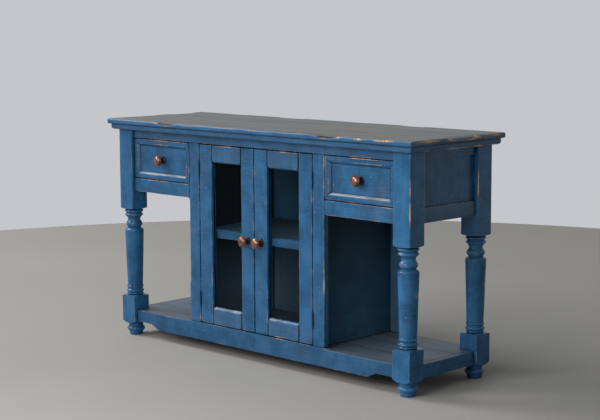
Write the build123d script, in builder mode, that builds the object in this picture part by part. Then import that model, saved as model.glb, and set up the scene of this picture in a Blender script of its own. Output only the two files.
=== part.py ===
from build123d import *
import os

# Console island: a plank top on a mitred cornice, four turned legs, two drawers over open bays,
# a glazed cupboard in the middle and a low plank shelf.
# Millimetres, +Z up, origin on the floor under the middle, front towards -Y.

# Overall sizes
height = 800
top_length = 1456
top_depth = 465

# Top: planks side by side with a rounded nose along the outside
top_thickness = 18
top_plank_count = 3
top_nose = 6
top_overhang = 31
plank_gap = 0.5

# Cornice: a mitred frame between the legs and the top
cornice_thickness = 20
cornice_overhang = 20
cornice_round = 8
mitre_gap = 0.3

# Boards of the frame
rail_recess = 12
rail_thickness = 20
arris = 1.5
tenon_thickness = 8
tenon_length = 24
stile_tenon = 16
tenon_shoulder = 8
joint_clearance = 0.15

# Front: heights from the cornice down, widths from the middle out
top_rail_height = 29
drawer_opening = 147
drawer_rail_height = 48
cupboard_opening = 550
stile_width = 50

# Low shelf and the rails round it
shelf_top = 95
shelf_thickness = 18
shelf_plank_count = 3
shelf_bearer = 20
low_rail_depth = 45
front_lip = 6.5
front_rail_depth = 63.5
notch_rise = 17
notch_length = 86
notch_ogee = 40

# Ends: a flat panel held in grooves
end_panel_thickness = 10
end_panel_setback = 7
panel_groove = 6

# Cupboard: sides and back of upright boards
side_thickness = 15
side_board_count = 4
back_thickness = 15
back_board_count = 7
back_overlap = 70
board_groove = 1.6
inner_shelf_top = 435
inner_shelf_thickness = 18
inner_shelf_lip = 30
inner_shelf_lip_thickness = 12
inner_shelf_cleat = 15
inner_shelf_setback = 6
door_stop_height = 36
door_stop_thickness = 12
door_stop_drop = 12

# Legs, turned from square stock: heights up from the floor
leg_square = 70
leg_arris = 2
corner_margin = 3
pommel_curve = 2
shoulder_curve = 1.5
foot_bottom_radius = 23.5
foot_radius = 26
foot_base = 13
foot_bead_radius = 33
foot_bead = 20
foot_neck_radius = 26
foot_neck = 8
lower_block_drop = 1
lower_block = 102
lower_pommel = 12
block_shoulder = 5

# Rings between the lower block and the column
base_bead_radius = 30
base_bead = 8
base_ring_radius = 32
base_ring = 12
base_groove_radius = 27.5
base_groove = 4
base_collar_radius = 30.5
base_collar = 10
column_bottom_radius = 28
column_top_radius = 34.5

# Rings between the column and the upper block, from the block down
upper_block_drop = 70
cap_ring_radius = 34
cap_ring = 12
cap_groove_radius = 28.5
cap_groove = 2.5
neck_ring_radius = 33
neck_ring = 12
neck_cove_radius = 23
neck_cove = 17
neck_bead_radius = 30
neck_bead = 22
neck_groove_radius = 24.5
neck_groove = 2.5
column_shoulder = 4

# Drawers
drawer_gap = 2
drawer_moulding = 9
drawer_moulding_width = 24
drawer_bevel = 7.5
drawer_front_thickness = 12
drawer_side_thickness = 12
drawer_side_inset = 1
drawer_side_drop = 6
drawer_back_gap = 20
drawer_bottom_thickness = 6
drawer_bottom_height = 10
drawer_groove = 5
runner_height = 30
runner_width = 24
runner_clearance = 0.3
guide_height = 20

# Doors
door_gap = 2.5
door_back_gap = 0.5
door_member = 62
glass_thickness = 3
glass_setback = 11
glass_rebate = 8
glass_clearance = 1

# Knobs and their screws
knob_projection = 36
knob_head_radius = 19
knob_head_depth = 14
knob_dome = 6
knob_neck_radius = 7
knob_base_radius = 14
knob_base_depth = 3
knob_base_flare = 5
knob_bore_depth = 14
screw_radius = 2
screw_clearance = 0.05
screw_hole_radius = 2.3
screw_head_radius = 4.5
screw_head_height = 2.5

# Butt hinges
hinge_height = 50
hinge_inset = 58
hinge_leaf_width = 16
hinge_leaf_gap = 0.2
hinge_knuckle_radius = 3
hinge_knuckle_count = 5
hinge_knuckle_gap = 0.3
hinge_pin_radius = 1.5
hinge_pin_clearance = 0.05
hinge_pin_head = 2
hinge_stand_off = 0.25

# Places worked out from the sizes
half_x = top_length / 2 - top_overhang
half_y = top_depth / 2 - top_overhang
leg_x = half_x - leg_square / 2
leg_y = half_y - leg_square / 2
inner_x = half_x - leg_square
inner_y = half_y - leg_square
front_face = -half_y + rail_recess
front_back = front_face + rail_thickness
back_face = half_y - rail_recess
back_front = back_face - rail_thickness
end_face = half_x - rail_recess
end_inner = end_face - rail_thickness
top_bottom = height - top_thickness
frame_top = top_bottom - cornice_thickness
top_rail_bottom = frame_top - top_rail_height
drawer_rail_top = top_rail_bottom - drawer_opening
drawer_rail_bottom = drawer_rail_top - drawer_rail_height
front_rail_top = shelf_top + front_lip
front_rail_bottom = front_rail_top - front_rail_depth
low_rail_bottom = shelf_top - low_rail_depth
shelf_bottom = shelf_top - shelf_thickness
stile_in = cupboard_opening / 2
stile_out = stile_in + stile_width
side_out = stile_in + side_thickness
back_edge = stile_in + back_overlap
cupboard_back = back_face - back_thickness
lower_block_bottom = low_rail_bottom - lower_block_drop
upper_block_bottom = drawer_rail_bottom - upper_block_drop
sides = {"left": -1, "right": 1}

os.makedirs("parts", exist_ok=True)
cuts = {}


def keep(builder, name):
    """Label the finished piece and write it out."""
    builder.part.label = name
    export_step(builder.part, f"parts/{name}.step")


def span(side, near, far):
    """The range between two distances from the middle, on the left (-1) or right (1) side."""
    return tuple(sorted((side * near, side * far)))


def middle(extent):
    """The middle of a range."""
    return (extent[0] + extent[1]) / 2


def block(x, y, z, mode=Mode.ADD):
    """Add or cut a box that fills the ranges x, y and z in the part being built."""
    with Locations((middle(x), middle(y), middle(z))):
        Box(x[1] - x[0], y[1] - y[0], z[1] - z[0], mode=mode)


def cut_for(name):
    """Cut the mortises and grooves that the neighbours of a piece have claimed in it."""
    for claimed in cuts.get(name, []):
        block(*[(low - joint_clearance, high + joint_clearance) for low, high in claimed],
              mode=Mode.SUBTRACT)


def claim(name, x, y, z):
    """Note that a neighbour's tenon or edge fills these ranges in the named piece."""
    cuts.setdefault(name, []).append((x, y, z))


def tenon(spans, along, outward, length):
    """The ranges of a tenon on one end of a board that runs along axis number along."""
    across = [axis for axis in range(3) if axis != along]
    thin = min(across, key=lambda axis: spans[axis][1] - spans[axis][0])
    ranges = [(low + tenon_shoulder, high - tenon_shoulder) for low, high in spans]
    centre = middle(spans[thin])
    ranges[thin] = (centre - tenon_thickness / 2, centre + tenon_thickness / 2)
    low, high = spans[along]
    ranges[along] = (high, high + length) if outward > 0 else (low - length, low)
    return ranges


def board(builder, x, y, z, along=0, low=None, high=None, length=tenon_length):
    """Add a board with eased edges, and a tenon on each end that names the piece it enters."""
    block(x, y, z)
    fillet(builder.edges(Select.LAST), radius=arris)
    for outward, receiver in ((-1, low), (1, high)):
        if receiver:
            ranges = tenon((x, y, z), along, outward, length)
            block(*ranges)
            claim(receiver, *ranges)


def upright_grooves(x, y, z, along, count, faces):
    """Cut the lines between upright boards into both or one of a panel's faces."""
    low, high = (x, y)[along]
    pitch = (high - low) / count
    for number in range(1, count):
        line = low + number * pitch
        across = (line - board_groove / 2, line + board_groove / 2)
        for face in faces:
            depth = (face - board_groove, face + board_groove)
            if along == 0:
                block(across, depth, z, mode=Mode.SUBTRACT)
            else:
                block(depth, across, z, mode=Mode.SUBTRACT)


def mitred_frame(across, up, width):
    """The outlines of four boards mitred into a frame: lower, right, upper and left."""
    outer = [(across[0], up[0]), (across[1], up[0]), (across[1], up[1]), (across[0], up[1])]
    turns = ((1, 1), (-1, 1), (-1, -1), (1, -1))
    inner = [(a + da * width, b + db * width) for (a, b), (da, db) in zip(outer, turns)]
    runs = ((1, 0), (0, 1), (-1, 0), (0, -1))
    outlines = []
    for number, (run_a, run_b) in enumerate(runs):
        after = (number + 1) % len(runs)
        ends = ((outer[number], 1), (outer[after], -1), (inner[after], -1), (inner[number], 1))
        outlines.append([(a + sign * run_a * mitre_gap, b + sign * run_b * mitre_gap)
                         for (a, b), sign in ends])
    return outlines


def face_plane(y):
    """The upright plane at depth y, with X to the right and Z up, facing the front."""
    return Plane.XZ.offset(-y)


# Drawer rails, between the front legs and the stiles
for side_name, side in sides.items():
    ends = (f"front_stile_{side_name}", f"leg_front_{side_name}")
    low_end, high_end = ends[::side]
    with BuildPart() as drawer_rail:
        board(drawer_rail, span(side, stile_out, inner_x), (front_face, front_back),
              (drawer_rail_bottom, drawer_rail_top), low=low_end, high=high_end)
    keep(drawer_rail, f"drawer_rail_{side_name}")

# Stiles beside the cupboard doors
for side_name, side in sides.items():
    with BuildPart() as front_stile:
        board(front_stile, span(side, stile_in, stile_out), (front_face, front_back),
              (front_rail_top, top_rail_bottom), along=2,
              low="front_bottom_rail", high="front_top_rail", length=stile_tenon)
        cut_for(f"front_stile_{side_name}")
    keep(front_stile, f"front_stile_{side_name}")

# Top rail across the front
with BuildPart() as front_top_rail:
    board(front_top_rail, (-inner_x, inner_x), (front_face, front_back), (top_rail_bottom, frame_top),
          low="leg_front_left", high="leg_front_right")
    cut_for("front_top_rail")
keep(front_top_rail, "front_top_rail")

# Bottom rail across the front: full depth in the middle, an ogee up to a shallower end by each leg
notch_z = front_rail_bottom + notch_rise
ogee_out = inner_x - notch_length
ogee_mid = ogee_out - notch_ogee / 2
ogee_in = ogee_out - notch_ogee
with BuildPart() as front_bottom_rail:
    with BuildSketch(face_plane(front_back)):
        with BuildLine():
            Polyline((0, front_rail_top), (inner_x, front_rail_top), (inner_x, notch_z), (ogee_out, notch_z))
            TangentArc((ogee_out, notch_z), (ogee_mid, notch_z - notch_rise / 2), tangent=(-1, 0))
            TangentArc((ogee_in, front_rail_bottom), (ogee_mid, notch_z - notch_rise / 2), tangent=(1, 0))
            Polyline((ogee_in, front_rail_bottom), (0, front_rail_bottom), (0, front_rail_top))
        make_face()
        mirror(about=Plane.YZ)
    extrude(amount=rail_thickness)
    fillet(front_bottom_rail.edges().filter_by(Axis.X).group_by(Axis.Z)[-1], radius=arris)
    for side_name, side in sides.items():
        rail_ranges = tenon(((-inner_x, inner_x), (front_face, front_back), (notch_z, front_rail_top)),
                            0, side, tenon_length)
        block(*rail_ranges)
        claim(f"leg_front_{side_name}", *rail_ranges)
    cut_for("front_bottom_rail")
keep(front_bottom_rail, "front_bottom_rail")

# Back aprons behind the drawers
for side_name, side in sides.items():
    low_end, high_end = (None, f"leg_back_{side_name}")[::side]
    with BuildPart() as back_apron:
        board(back_apron, span(side, back_edge, inner_x), (back_front, back_face),
              (drawer_rail_bottom, frame_top), low=low_end, high=high_end)
    keep(back_apron, f"back_apron_{side_name}")

# Low rail across the back
with BuildPart() as back_bottom_rail:
    board(back_bottom_rail, (-inner_x, inner_x), (back_front, back_face), (low_rail_bottom, shelf_top),
          low="leg_back_left", high="leg_back_right")
keep(back_bottom_rail, "back_bottom_rail")

# End panels, held in grooves in the legs and in the two rails
for side_name, side in sides.items():
    panel_out = end_face - end_panel_setback
    panel_ranges = (span(side, panel_out - end_panel_thickness, panel_out),
                    (-inner_y - panel_groove, inner_y + panel_groove),
                    (drawer_rail_top - panel_groove, top_rail_bottom + panel_groove))
    with BuildPart() as end_panel:
        block(*panel_ranges)
    keep(end_panel, f"end_panel_{side_name}")
    for neighbour in (f"leg_front_{side_name}", f"leg_back_{side_name}", "end_top_rails", "end_middle_rails"):
        claim(neighbour, *panel_ranges)

# End rails, a left and a right one at each height
end_rails = {
    "end_top_rails": (top_rail_bottom, frame_top),
    "end_middle_rails": (drawer_rail_bottom, drawer_rail_top),
    "end_low_rails": (low_rail_bottom, shelf_top),
}
for rail_name, rail_z in end_rails.items():
    with BuildPart() as end_rail:
        for side_name, side in sides.items():
            board(end_rail, span(side, end_inner, end_face), (-inner_y, inner_y), rail_z, along=1,
                  low=f"leg_front_{side_name}", high=f"leg_back_{side_name}")
        cut_for(rail_name)
    keep(end_rail, rail_name)

# Legs: a turned outline cut down to the square of the stock, then mortised
lathe_radius = leg_square / 2 ** 0.5 + corner_margin
foot_bead_bottom = foot_base
foot_bead_top = foot_bead_bottom + foot_bead
foot_neck_top = foot_bead_top + foot_neck
lower_block_top = lower_block_bottom + lower_block
base_bead_top = lower_block_top + base_bead
base_ring_top = base_bead_top + base_ring
base_groove_top = base_ring_top + base_groove
column_bottom = base_groove_top + base_collar
cap_ring_bottom = upper_block_bottom - cap_ring
neck_ring_top = cap_ring_bottom - cap_groove
neck_ring_bottom = neck_ring_top - neck_ring
neck_cove_bottom = neck_ring_bottom - neck_cove
neck_bead_bottom = neck_cove_bottom - neck_bead
neck_groove_bottom = neck_bead_bottom - neck_groove
column_top = neck_groove_bottom - column_shoulder


def swell(low, radius, top):
    """A bead or a cove in a turned outline, between two points, reaching out or in to a radius."""
    ThreePointArc(low, (radius, (low[1] + top[1]) / 2), top)


def turned_leg(name, x, y):
    """One leg with its axis at x, y, and its mortises."""
    foot_ankle = (foot_radius, foot_base)
    foot_waist = (foot_neck_radius, foot_bead_top)
    foot_collar = (foot_neck_radius, foot_neck_top)
    low_corner = (lathe_radius, lower_block_bottom + lower_pommel)
    low_shoulder = (lathe_radius, lower_block_top - block_shoulder)
    base_seat = (base_groove_radius, lower_block_top)
    base_lines = [(base_groove_radius, level) for level in (base_bead_top, base_ring_top, base_groove_top)]
    column_foot = (column_bottom_radius, column_bottom)
    column_head = (column_top_radius, column_top)
    neck_foot = (neck_groove_radius, neck_groove_bottom)
    neck_lines = [(neck_groove_radius, level) for level in (neck_bead_bottom, neck_cove_bottom)]
    cove_top = (cap_groove_radius, neck_ring_bottom)
    cap_lines = [(cap_groove_radius, level) for level in (neck_ring_top, cap_ring_bottom)]
    cap_seat = (cap_groove_radius, upper_block_bottom)
    high_corner = (lathe_radius, upper_block_bottom + block_shoulder)
    with BuildPart() as leg:
        with BuildSketch(Plane(origin=(x, y, 0), x_dir=(1, 0, 0), z_dir=(0, -1, 0))):
            with BuildLine():
                Polyline((0, 0), (foot_bottom_radius, 0), foot_ankle)
                swell(foot_ankle, foot_bead_radius, foot_waist)
                Polyline(foot_waist, foot_collar)
                SagittaArc(foot_collar, low_corner, -pommel_curve)
                Polyline(low_corner, low_shoulder)
                SagittaArc(low_shoulder, base_seat, -shoulder_curve)
                swell(base_seat, base_bead_radius, base_lines[0])
                swell(base_lines[0], base_ring_radius, base_lines[1])
                Polyline(base_lines[1], base_lines[2])
                swell(base_lines[2], base_collar_radius, column_foot)
                Polyline(column_foot, column_head, neck_foot, neck_lines[0])
                swell(neck_lines[0], neck_bead_radius, neck_lines[1])
                swell(neck_lines[1], neck_cove_radius, cove_top)
                swell(cove_top, neck_ring_radius, cap_lines[0])
                Polyline(cap_lines[0], cap_lines[1])
                swell(cap_lines[1], cap_ring_radius, cap_seat)
                SagittaArc(cap_seat, high_corner, -shoulder_curve)
                Polyline(high_corner, (lathe_radius, frame_top), (0, frame_top), (0, 0))
            make_face()
        revolve(axis=Axis((x, y, 0), (0, 0, 1)))
        with BuildSketch(Plane(origin=(x, y, 0))):
            RectangleRounded(leg_square, leg_square, leg_arris)
        extrude(amount=frame_top, mode=Mode.INTERSECT)
        cut_for(name)
    keep(leg, name)


for row_name, row in {"front": -1, "back": 1}.items():
    for side_name, side in sides.items():
        turned_leg(f"leg_{row_name}_{side_name}", side * leg_x, row * leg_y)

# Cornice: four boards mitred at the corners, rounded along the lower outer edge
cornice_x = half_x + cornice_overhang
cornice_y = half_y + cornice_overhang
cornice_width = cornice_overhang + leg_square
cornice_outlines = mitred_frame((-cornice_x, cornice_x), (-cornice_y, cornice_y), cornice_width)
for cornice_name, outline in zip(("front", "right", "back", "left"), cornice_outlines):
    with BuildPart() as cornice_board:
        with BuildSketch(Plane.XY.offset(frame_top)):
            with BuildLine():
                Polyline(*outline, close=True)
            make_face()
        extrude(amount=cornice_thickness)
        outer_edge = cornice_board.edges().group_by(Axis.Z)[0].sort_by(SortBy.LENGTH)[-1]
        fillet(outer_edge, radius=cornice_round)
    keep(cornice_board, f"cornice_{cornice_name}")

# Top planks, with the nose along the front, the back and both ends
plank_pitch = top_depth / top_plank_count
with BuildPart() as top_planks:
    for number in range(top_plank_count):
        plank_y = -top_depth / 2 + number * plank_pitch
        first = number == 0
        last = number == top_plank_count - 1
        plank_front = plank_y + (0 if first else plank_gap / 2)
        plank_back = plank_y + plank_pitch - (0 if last else plank_gap / 2)
        block((-top_length / 2, top_length / 2), (plank_front, plank_back), (top_bottom, height))
        plank_edges = top_planks.edges(Select.LAST)
        nosed = plank_edges.filter_by(Axis.Y)
        if first:
            nosed += plank_edges.filter_by(Axis.X).group_by(Axis.Y)[0]
        if last:
            nosed += plank_edges.filter_by(Axis.X).group_by(Axis.Y)[-1]
        fillet(nosed, radius=top_nose)
keep(top_planks, "top_planks")

# Low shelf: planks between the rails, notched round the legs, on cleats and cross bearers
shelf_pitch = (back_front - front_back) / shelf_plank_count
with BuildPart() as shelf_planks:
    for number in range(shelf_plank_count):
        plank_y = front_back + number * shelf_pitch
        block((-end_inner, end_inner), (plank_y + plank_gap / 2, plank_y + shelf_pitch - plank_gap / 2),
              (shelf_bottom, shelf_top))
        fillet(shelf_planks.edges(Select.LAST).filter_by(Axis.X).group_by(Axis.Z)[-1], radius=arris)
    for side in sides.values():
        for notch_y in ((front_back, -inner_y + joint_clearance), (inner_y - joint_clearance, back_front)):
            block(span(side, inner_x - joint_clearance, end_inner), notch_y, (shelf_bottom, shelf_top),
                  mode=Mode.SUBTRACT)
keep(shelf_planks, "shelf_planks")

bearer_z = (shelf_bottom - shelf_bearer, shelf_bottom)
with BuildPart() as shelf_bearers:
    block((-inner_x, inner_x), (front_back, front_back + shelf_bearer), bearer_z)
    block((-inner_x, inner_x), (back_front - shelf_bearer, back_front), bearer_z)
    for side in sides.values():
        block(span(side, stile_in, stile_in + shelf_bearer),
              (front_back + shelf_bearer + plank_gap, back_front - shelf_bearer - plank_gap), bearer_z)
keep(shelf_bearers, "shelf_bearers")

# Cupboard sides and back, of upright boards
cupboard_z = (shelf_top, frame_top)
for side_name, side in sides.items():
    side_x = span(side, stile_in, side_out)
    side_y = (front_back, cupboard_back)
    with BuildPart() as cupboard_side:
        block(side_x, side_y, cupboard_z)
        upright_grooves(side_x, side_y, cupboard_z, 1, side_board_count, (side * side_out,))
    keep(cupboard_side, f"cupboard_side_{side_name}")

back_x = (-back_edge, back_edge)
back_y = (cupboard_back, back_face)
with BuildPart() as cupboard_back_panel:
    block(back_x, back_y, cupboard_z)
    upright_grooves(back_x, back_y, cupboard_z, 0, back_board_count, back_y)
keep(cupboard_back_panel, "cupboard_back")

# Shelf inside the cupboard, with a lip along its front and a cleat under each end
lip_front = front_back + inner_shelf_setback
lip_back = lip_front + inner_shelf_lip_thickness
lip_bottom = inner_shelf_top - inner_shelf_lip
inner_shelf_bottom = inner_shelf_top - inner_shelf_thickness
with BuildPart() as inner_shelf:
    block((-stile_in, stile_in), (lip_back, cupboard_back), (inner_shelf_bottom, inner_shelf_top))
keep(inner_shelf, "inner_shelf")

with BuildPart() as shelf_lip:
    board(shelf_lip, (-stile_in, stile_in), (lip_front, lip_back), (lip_bottom, inner_shelf_top))
keep(shelf_lip, "inner_shelf_lip")

with BuildPart() as inner_shelf_cleats:
    for side in sides.values():
        block(span(side, stile_in - inner_shelf_cleat, stile_in), (lip_back, cupboard_back),
              (lip_bottom, inner_shelf_bottom))
keep(inner_shelf_cleats, "inner_shelf_cleats")

# Strip behind the top rail that stops both doors
with BuildPart() as door_stop:
    block((-stile_in, stile_in), (front_back, front_back + door_stop_thickness),
          (top_rail_bottom - door_stop_drop, top_rail_bottom - door_stop_drop + door_stop_height))
keep(door_stop, "door_stop")

# Drawer runners: a bar against the legs, and a rebated bar with a guide against the cupboard side
drawer_z = (drawer_rail_top + drawer_gap, top_rail_bottom - drawer_gap)
runner_top = drawer_z[0] - runner_clearance
runner_y = (front_back, back_front)
runner_z = (runner_top - runner_height, runner_top)
with BuildPart() as drawer_runners:
    for side in sides.values():
        block(span(side, inner_x - runner_width, inner_x), runner_y, runner_z)
        block(span(side, side_out, stile_out + runner_width), runner_y, runner_z)
        block(span(side, side_out, stile_out), runner_y, (runner_top, runner_top + guide_height))
keep(drawer_runners, "drawer_runners")


def screwed_knob(name, x, y, z, thickness):
    """A turned knob on the face at depth y, with the screw that holds it from behind the board."""
    base_front = y - knob_base_depth
    flare_end = base_front - knob_base_flare
    head_back = y - knob_projection + knob_head_depth
    rim = head_back - knob_dome
    with BuildPart() as knob:
        with BuildSketch(Plane.XY.offset(z)):
            with BuildLine():
                Polyline((x, y - knob_projection), (x, y), (x + knob_base_radius, y),
                         (x + knob_base_radius, base_front))
                TangentArc((x + knob_neck_radius, flare_end), (x + knob_base_radius, base_front),
                           tangent=(0, 1))
                Line((x + knob_neck_radius, flare_end), (x + knob_neck_radius, head_back))
                TangentArc((x + knob_neck_radius, head_back), (x + knob_head_radius, rim), tangent=(0, -1))
                TangentArc((x, y - knob_projection), (x + knob_head_radius, rim), tangent=(1, 0))
            make_face()
        revolve(axis=Axis((x, y, z), (0, 1, 0)))
        screw_length = thickness + knob_bore_depth
        axis_back = Plane(origin=(x, y + thickness, z), z_dir=(0, -1, 0))
        with BuildSketch(axis_back):
            Circle(screw_radius + screw_clearance)
        extrude(amount=screw_length, mode=Mode.SUBTRACT)
        with BuildSketch(axis_back):
            Circle(screw_radius)
        extrude(amount=screw_length - screw_head_height)
        with BuildSketch(axis_back):
            Circle(screw_head_radius)
        extrude(amount=-screw_head_height)
    keep(knob, name)


def screw_hole(x, y, z, thickness):
    """Cut the hole for a knob's screw through the board being built, from the face at depth y."""
    with Locations(Plane(origin=(x, y, z), z_dir=(0, -1, 0))):
        Hole(screw_hole_radius, depth=thickness)


# Drawers: a panel framed by a mitred moulding, on a box with its bottom in grooves
panel_y = (front_face + drawer_moulding, front_face + drawer_moulding + drawer_front_thickness)
box_y = (panel_y[1], back_front - drawer_back_gap)
box_z = (drawer_z[0], drawer_z[1] - drawer_side_drop)
bottom_z = (drawer_z[0] + drawer_bottom_height, drawer_z[0] + drawer_bottom_height + drawer_bottom_thickness)
for side_name, side in sides.items():
    drawer = f"drawer_{side_name}"
    drawer_x = span(side, stile_out + drawer_gap, inner_x - drawer_gap)
    box_x = (drawer_x[0] + drawer_side_inset, drawer_x[1] - drawer_side_inset)
    inside_x = (box_x[0] + drawer_side_thickness, box_x[1] - drawer_side_thickness)
    bottom_x = (inside_x[0] - drawer_groove, inside_x[1] + drawer_groove)
    bottom_y = (panel_y[1] - drawer_groove, box_y[1])
    for piece in ("front", "sides"):
        claim(f"{drawer}_{piece}", bottom_x, bottom_y, bottom_z)

    with BuildPart() as drawer_front:
        block(drawer_x, panel_y, drawer_z)
        screw_hole(middle(drawer_x), panel_y[0], middle(drawer_z), drawer_front_thickness)
        cut_for(f"{drawer}_front")
    keep(drawer_front, f"{drawer}_front")

    with BuildPart() as drawer_moulding_strips:
        for outline in mitred_frame(drawer_x, drawer_z, drawer_moulding_width):
            with BuildSketch(face_plane(panel_y[0])):
                with BuildLine():
                    Polyline(*outline, close=True)
                make_face()
            extrude(amount=drawer_moulding)
            front_edges = drawer_moulding_strips.edges(Select.LAST).group_by(Axis.Y)[0]
            chamfer(front_edges.sort_by(SortBy.LENGTH)[-2], length=drawer_bevel)
    keep(drawer_moulding_strips, f"{drawer}_moulding")

    with BuildPart() as drawer_sides:
        block((box_x[0], inside_x[0]), box_y, box_z)
        block((inside_x[1], box_x[1]), box_y, box_z)
        cut_for(f"{drawer}_sides")
    keep(drawer_sides, f"{drawer}_sides")

    with BuildPart() as drawer_back:
        block(inside_x, (box_y[1] - drawer_side_thickness, box_y[1]), (bottom_z[1], box_z[1]))
    keep(drawer_back, f"{drawer}_back")

    with BuildPart() as drawer_bottom:
        block(bottom_x, bottom_y, bottom_z)
    keep(drawer_bottom, f"{drawer}_bottom")

    screwed_knob(f"{drawer}_knob", middle(drawer_x), panel_y[0], middle(drawer_z), drawer_front_thickness)


# Doors: stiles and tenoned rails, rebated behind for the glass and its stops
door_thickness = rail_thickness - door_back_gap
door_y = (front_face, front_face + door_thickness)
door_z = (front_rail_top + door_gap, top_rail_bottom - door_gap)
glass_y = (front_face + glass_setback, front_face + glass_setback + glass_thickness)
open_z = (door_z[0] + door_member, door_z[1] - door_member)
rebate_z = (open_z[0] - glass_rebate, open_z[1] + glass_rebate)
for side_name, side in sides.items():
    door = f"door_{side_name}"
    door_x = span(side, door_gap / 2, stile_in - door_gap)
    open_x = (door_x[0] + door_member, door_x[1] - door_member)
    rebate_x = (open_x[0] - glass_rebate, open_x[1] + glass_rebate)
    rebate = (rebate_x, (glass_y[0], door_y[1]), rebate_z)
    knob_x = side * (door_gap + door_member) / 2

    with BuildPart() as door_rails:
        for rail_z in ((door_z[0], open_z[0]), (open_z[1], door_z[1])):
            board(door_rails, open_x, door_y, rail_z, low=f"{door}_stiles", high=f"{door}_stiles")
        block(*rebate, mode=Mode.SUBTRACT)
    keep(door_rails, f"{door}_rails")

    with BuildPart() as door_stiles:
        for stile_x in ((door_x[0], open_x[0]), (open_x[1], door_x[1])):
            board(door_stiles, stile_x, door_y, door_z, along=2)
        block(*rebate, mode=Mode.SUBTRACT)
        screw_hole(knob_x, front_face, middle(door_z), door_thickness)
        cut_for(f"{door}_stiles")
    keep(door_stiles, f"{door}_stiles")

    with BuildPart() as door_glass:
        block((rebate_x[0] + glass_clearance, rebate_x[1] - glass_clearance), glass_y,
              (rebate_z[0] + glass_clearance, rebate_z[1] - glass_clearance))
    keep(door_glass, f"{door}_glass")

    with BuildPart() as glass_stops:
        for outline in mitred_frame(rebate_x, rebate_z, glass_rebate):
            with BuildSketch(face_plane(door_y[1])):
                with BuildLine():
                    Polyline(*outline, close=True)
                make_face()
            extrude(amount=door_y[1] - glass_y[1])
    keep(glass_stops, f"{door}_glass_stops")

    screwed_knob(f"{door}_knob", knob_x, front_face, middle(door_z), door_thickness)

# Butt hinges: leaves face to face in the gap beside each door, knuckles proud of the front
knuckle_pitch = hinge_height / hinge_knuckle_count
hinge_leaf_thickness = (door_gap - hinge_leaf_gap) / 2
hinge_x = stile_in - door_gap / 2
hinge_y = front_face - hinge_knuckle_radius - hinge_stand_off
hinge_levels = (door_z[0] + hinge_inset, door_z[1] - hinge_inset - hinge_height)


def hinge_leaf(axis_x, leaf_x, level, own):
    """Add one leaf with its knuckles, numbered up from own in steps of two, bored for the pin."""
    block(leaf_x, (hinge_y, front_face + hinge_leaf_width), (level, level + hinge_height))
    for number in range(hinge_knuckle_count):
        mine = number % 2 == own
        with Locations((axis_x, hinge_y, level + (number + 0.5) * knuckle_pitch)):
            if mine:
                Cylinder(hinge_knuckle_radius, knuckle_pitch - hinge_knuckle_gap)
            else:
                Cylinder(hinge_knuckle_radius + hinge_knuckle_gap, knuckle_pitch + hinge_knuckle_gap,
                         mode=Mode.SUBTRACT)
    with Locations((axis_x, hinge_y, level + hinge_height / 2)):
        Cylinder(hinge_pin_radius + hinge_pin_clearance, hinge_height, mode=Mode.SUBTRACT)


for side_name, side in sides.items():
    with BuildPart() as door_leaves:
        for level in hinge_levels:
            leaf_x = span(side, stile_in - door_gap, stile_in - door_gap + hinge_leaf_thickness)
            hinge_leaf(side * hinge_x, leaf_x, level, 1)
    keep(door_leaves, f"door_{side_name}_hinge_leaves")

with BuildPart() as frame_leaves:
    for side in sides.values():
        for level in hinge_levels:
            leaf_x = span(side, stile_in - hinge_leaf_thickness, stile_in)
            hinge_leaf(side * hinge_x, leaf_x, level, 0)
keep(frame_leaves, "frame_hinge_leaves")

with BuildPart() as hinge_pins:
    for side in sides.values():
        for level in hinge_levels:
            with Locations((side * hinge_x, hinge_y, level + hinge_height / 2)):
                Cylinder(hinge_pin_radius, hinge_height)
            with Locations((side * hinge_x, hinge_y, level + hinge_height + hinge_pin_head / 2)):
                Cylinder(hinge_knuckle_radius, hinge_pin_head)
keep(hinge_pins, "hinge_pins")
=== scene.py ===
"""Looks of the console island: hand-rubbed blue paint on pine boards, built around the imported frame."""
import logging
import math
from collections.abc import Callable, Iterator, Sequence
from contextlib import contextmanager
from dataclasses import dataclass
from enum import Enum
from functools import cache
from typing import ClassVar

import bmesh
import bpy
import numpy as np
from mathutils import Matrix, Vector


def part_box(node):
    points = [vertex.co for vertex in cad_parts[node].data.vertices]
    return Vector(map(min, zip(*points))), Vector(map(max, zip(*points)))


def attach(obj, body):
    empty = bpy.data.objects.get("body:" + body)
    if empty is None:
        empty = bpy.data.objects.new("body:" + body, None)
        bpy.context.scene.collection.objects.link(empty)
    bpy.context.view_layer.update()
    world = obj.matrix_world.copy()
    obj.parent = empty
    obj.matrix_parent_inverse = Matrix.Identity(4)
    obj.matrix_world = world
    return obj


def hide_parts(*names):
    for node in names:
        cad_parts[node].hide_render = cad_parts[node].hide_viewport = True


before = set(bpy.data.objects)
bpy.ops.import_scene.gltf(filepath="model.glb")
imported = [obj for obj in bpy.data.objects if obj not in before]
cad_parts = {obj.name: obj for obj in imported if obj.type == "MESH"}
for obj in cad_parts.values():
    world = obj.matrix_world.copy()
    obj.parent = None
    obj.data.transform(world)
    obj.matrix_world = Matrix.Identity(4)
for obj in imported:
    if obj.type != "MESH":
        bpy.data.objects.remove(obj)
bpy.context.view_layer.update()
LOG = logging.getLogger("console_island")
MM = 0.001
TENON = 24 * MM
SIDES = ("left", "right")
LEGS = tuple(f"leg_{row}_{side}" for row in ("front", "back") for side in SIDES)

Box = tuple[Vector, Vector]
Pair = tuple[float, float]
Point = tuple[float, float, float]
Piece = bpy.types.Object
Edge = bmesh.types.BMEdge
Material = bpy.types.Material
Node = bpy.types.Node
Tree = bpy.types.NodeTree
Socket = bpy.types.NodeSocket
# A ramp by its node's sockets: 1 and 2 are where it starts and ends, 3 and 4 are what it gives there.
Ramp = dict[int, float]


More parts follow.
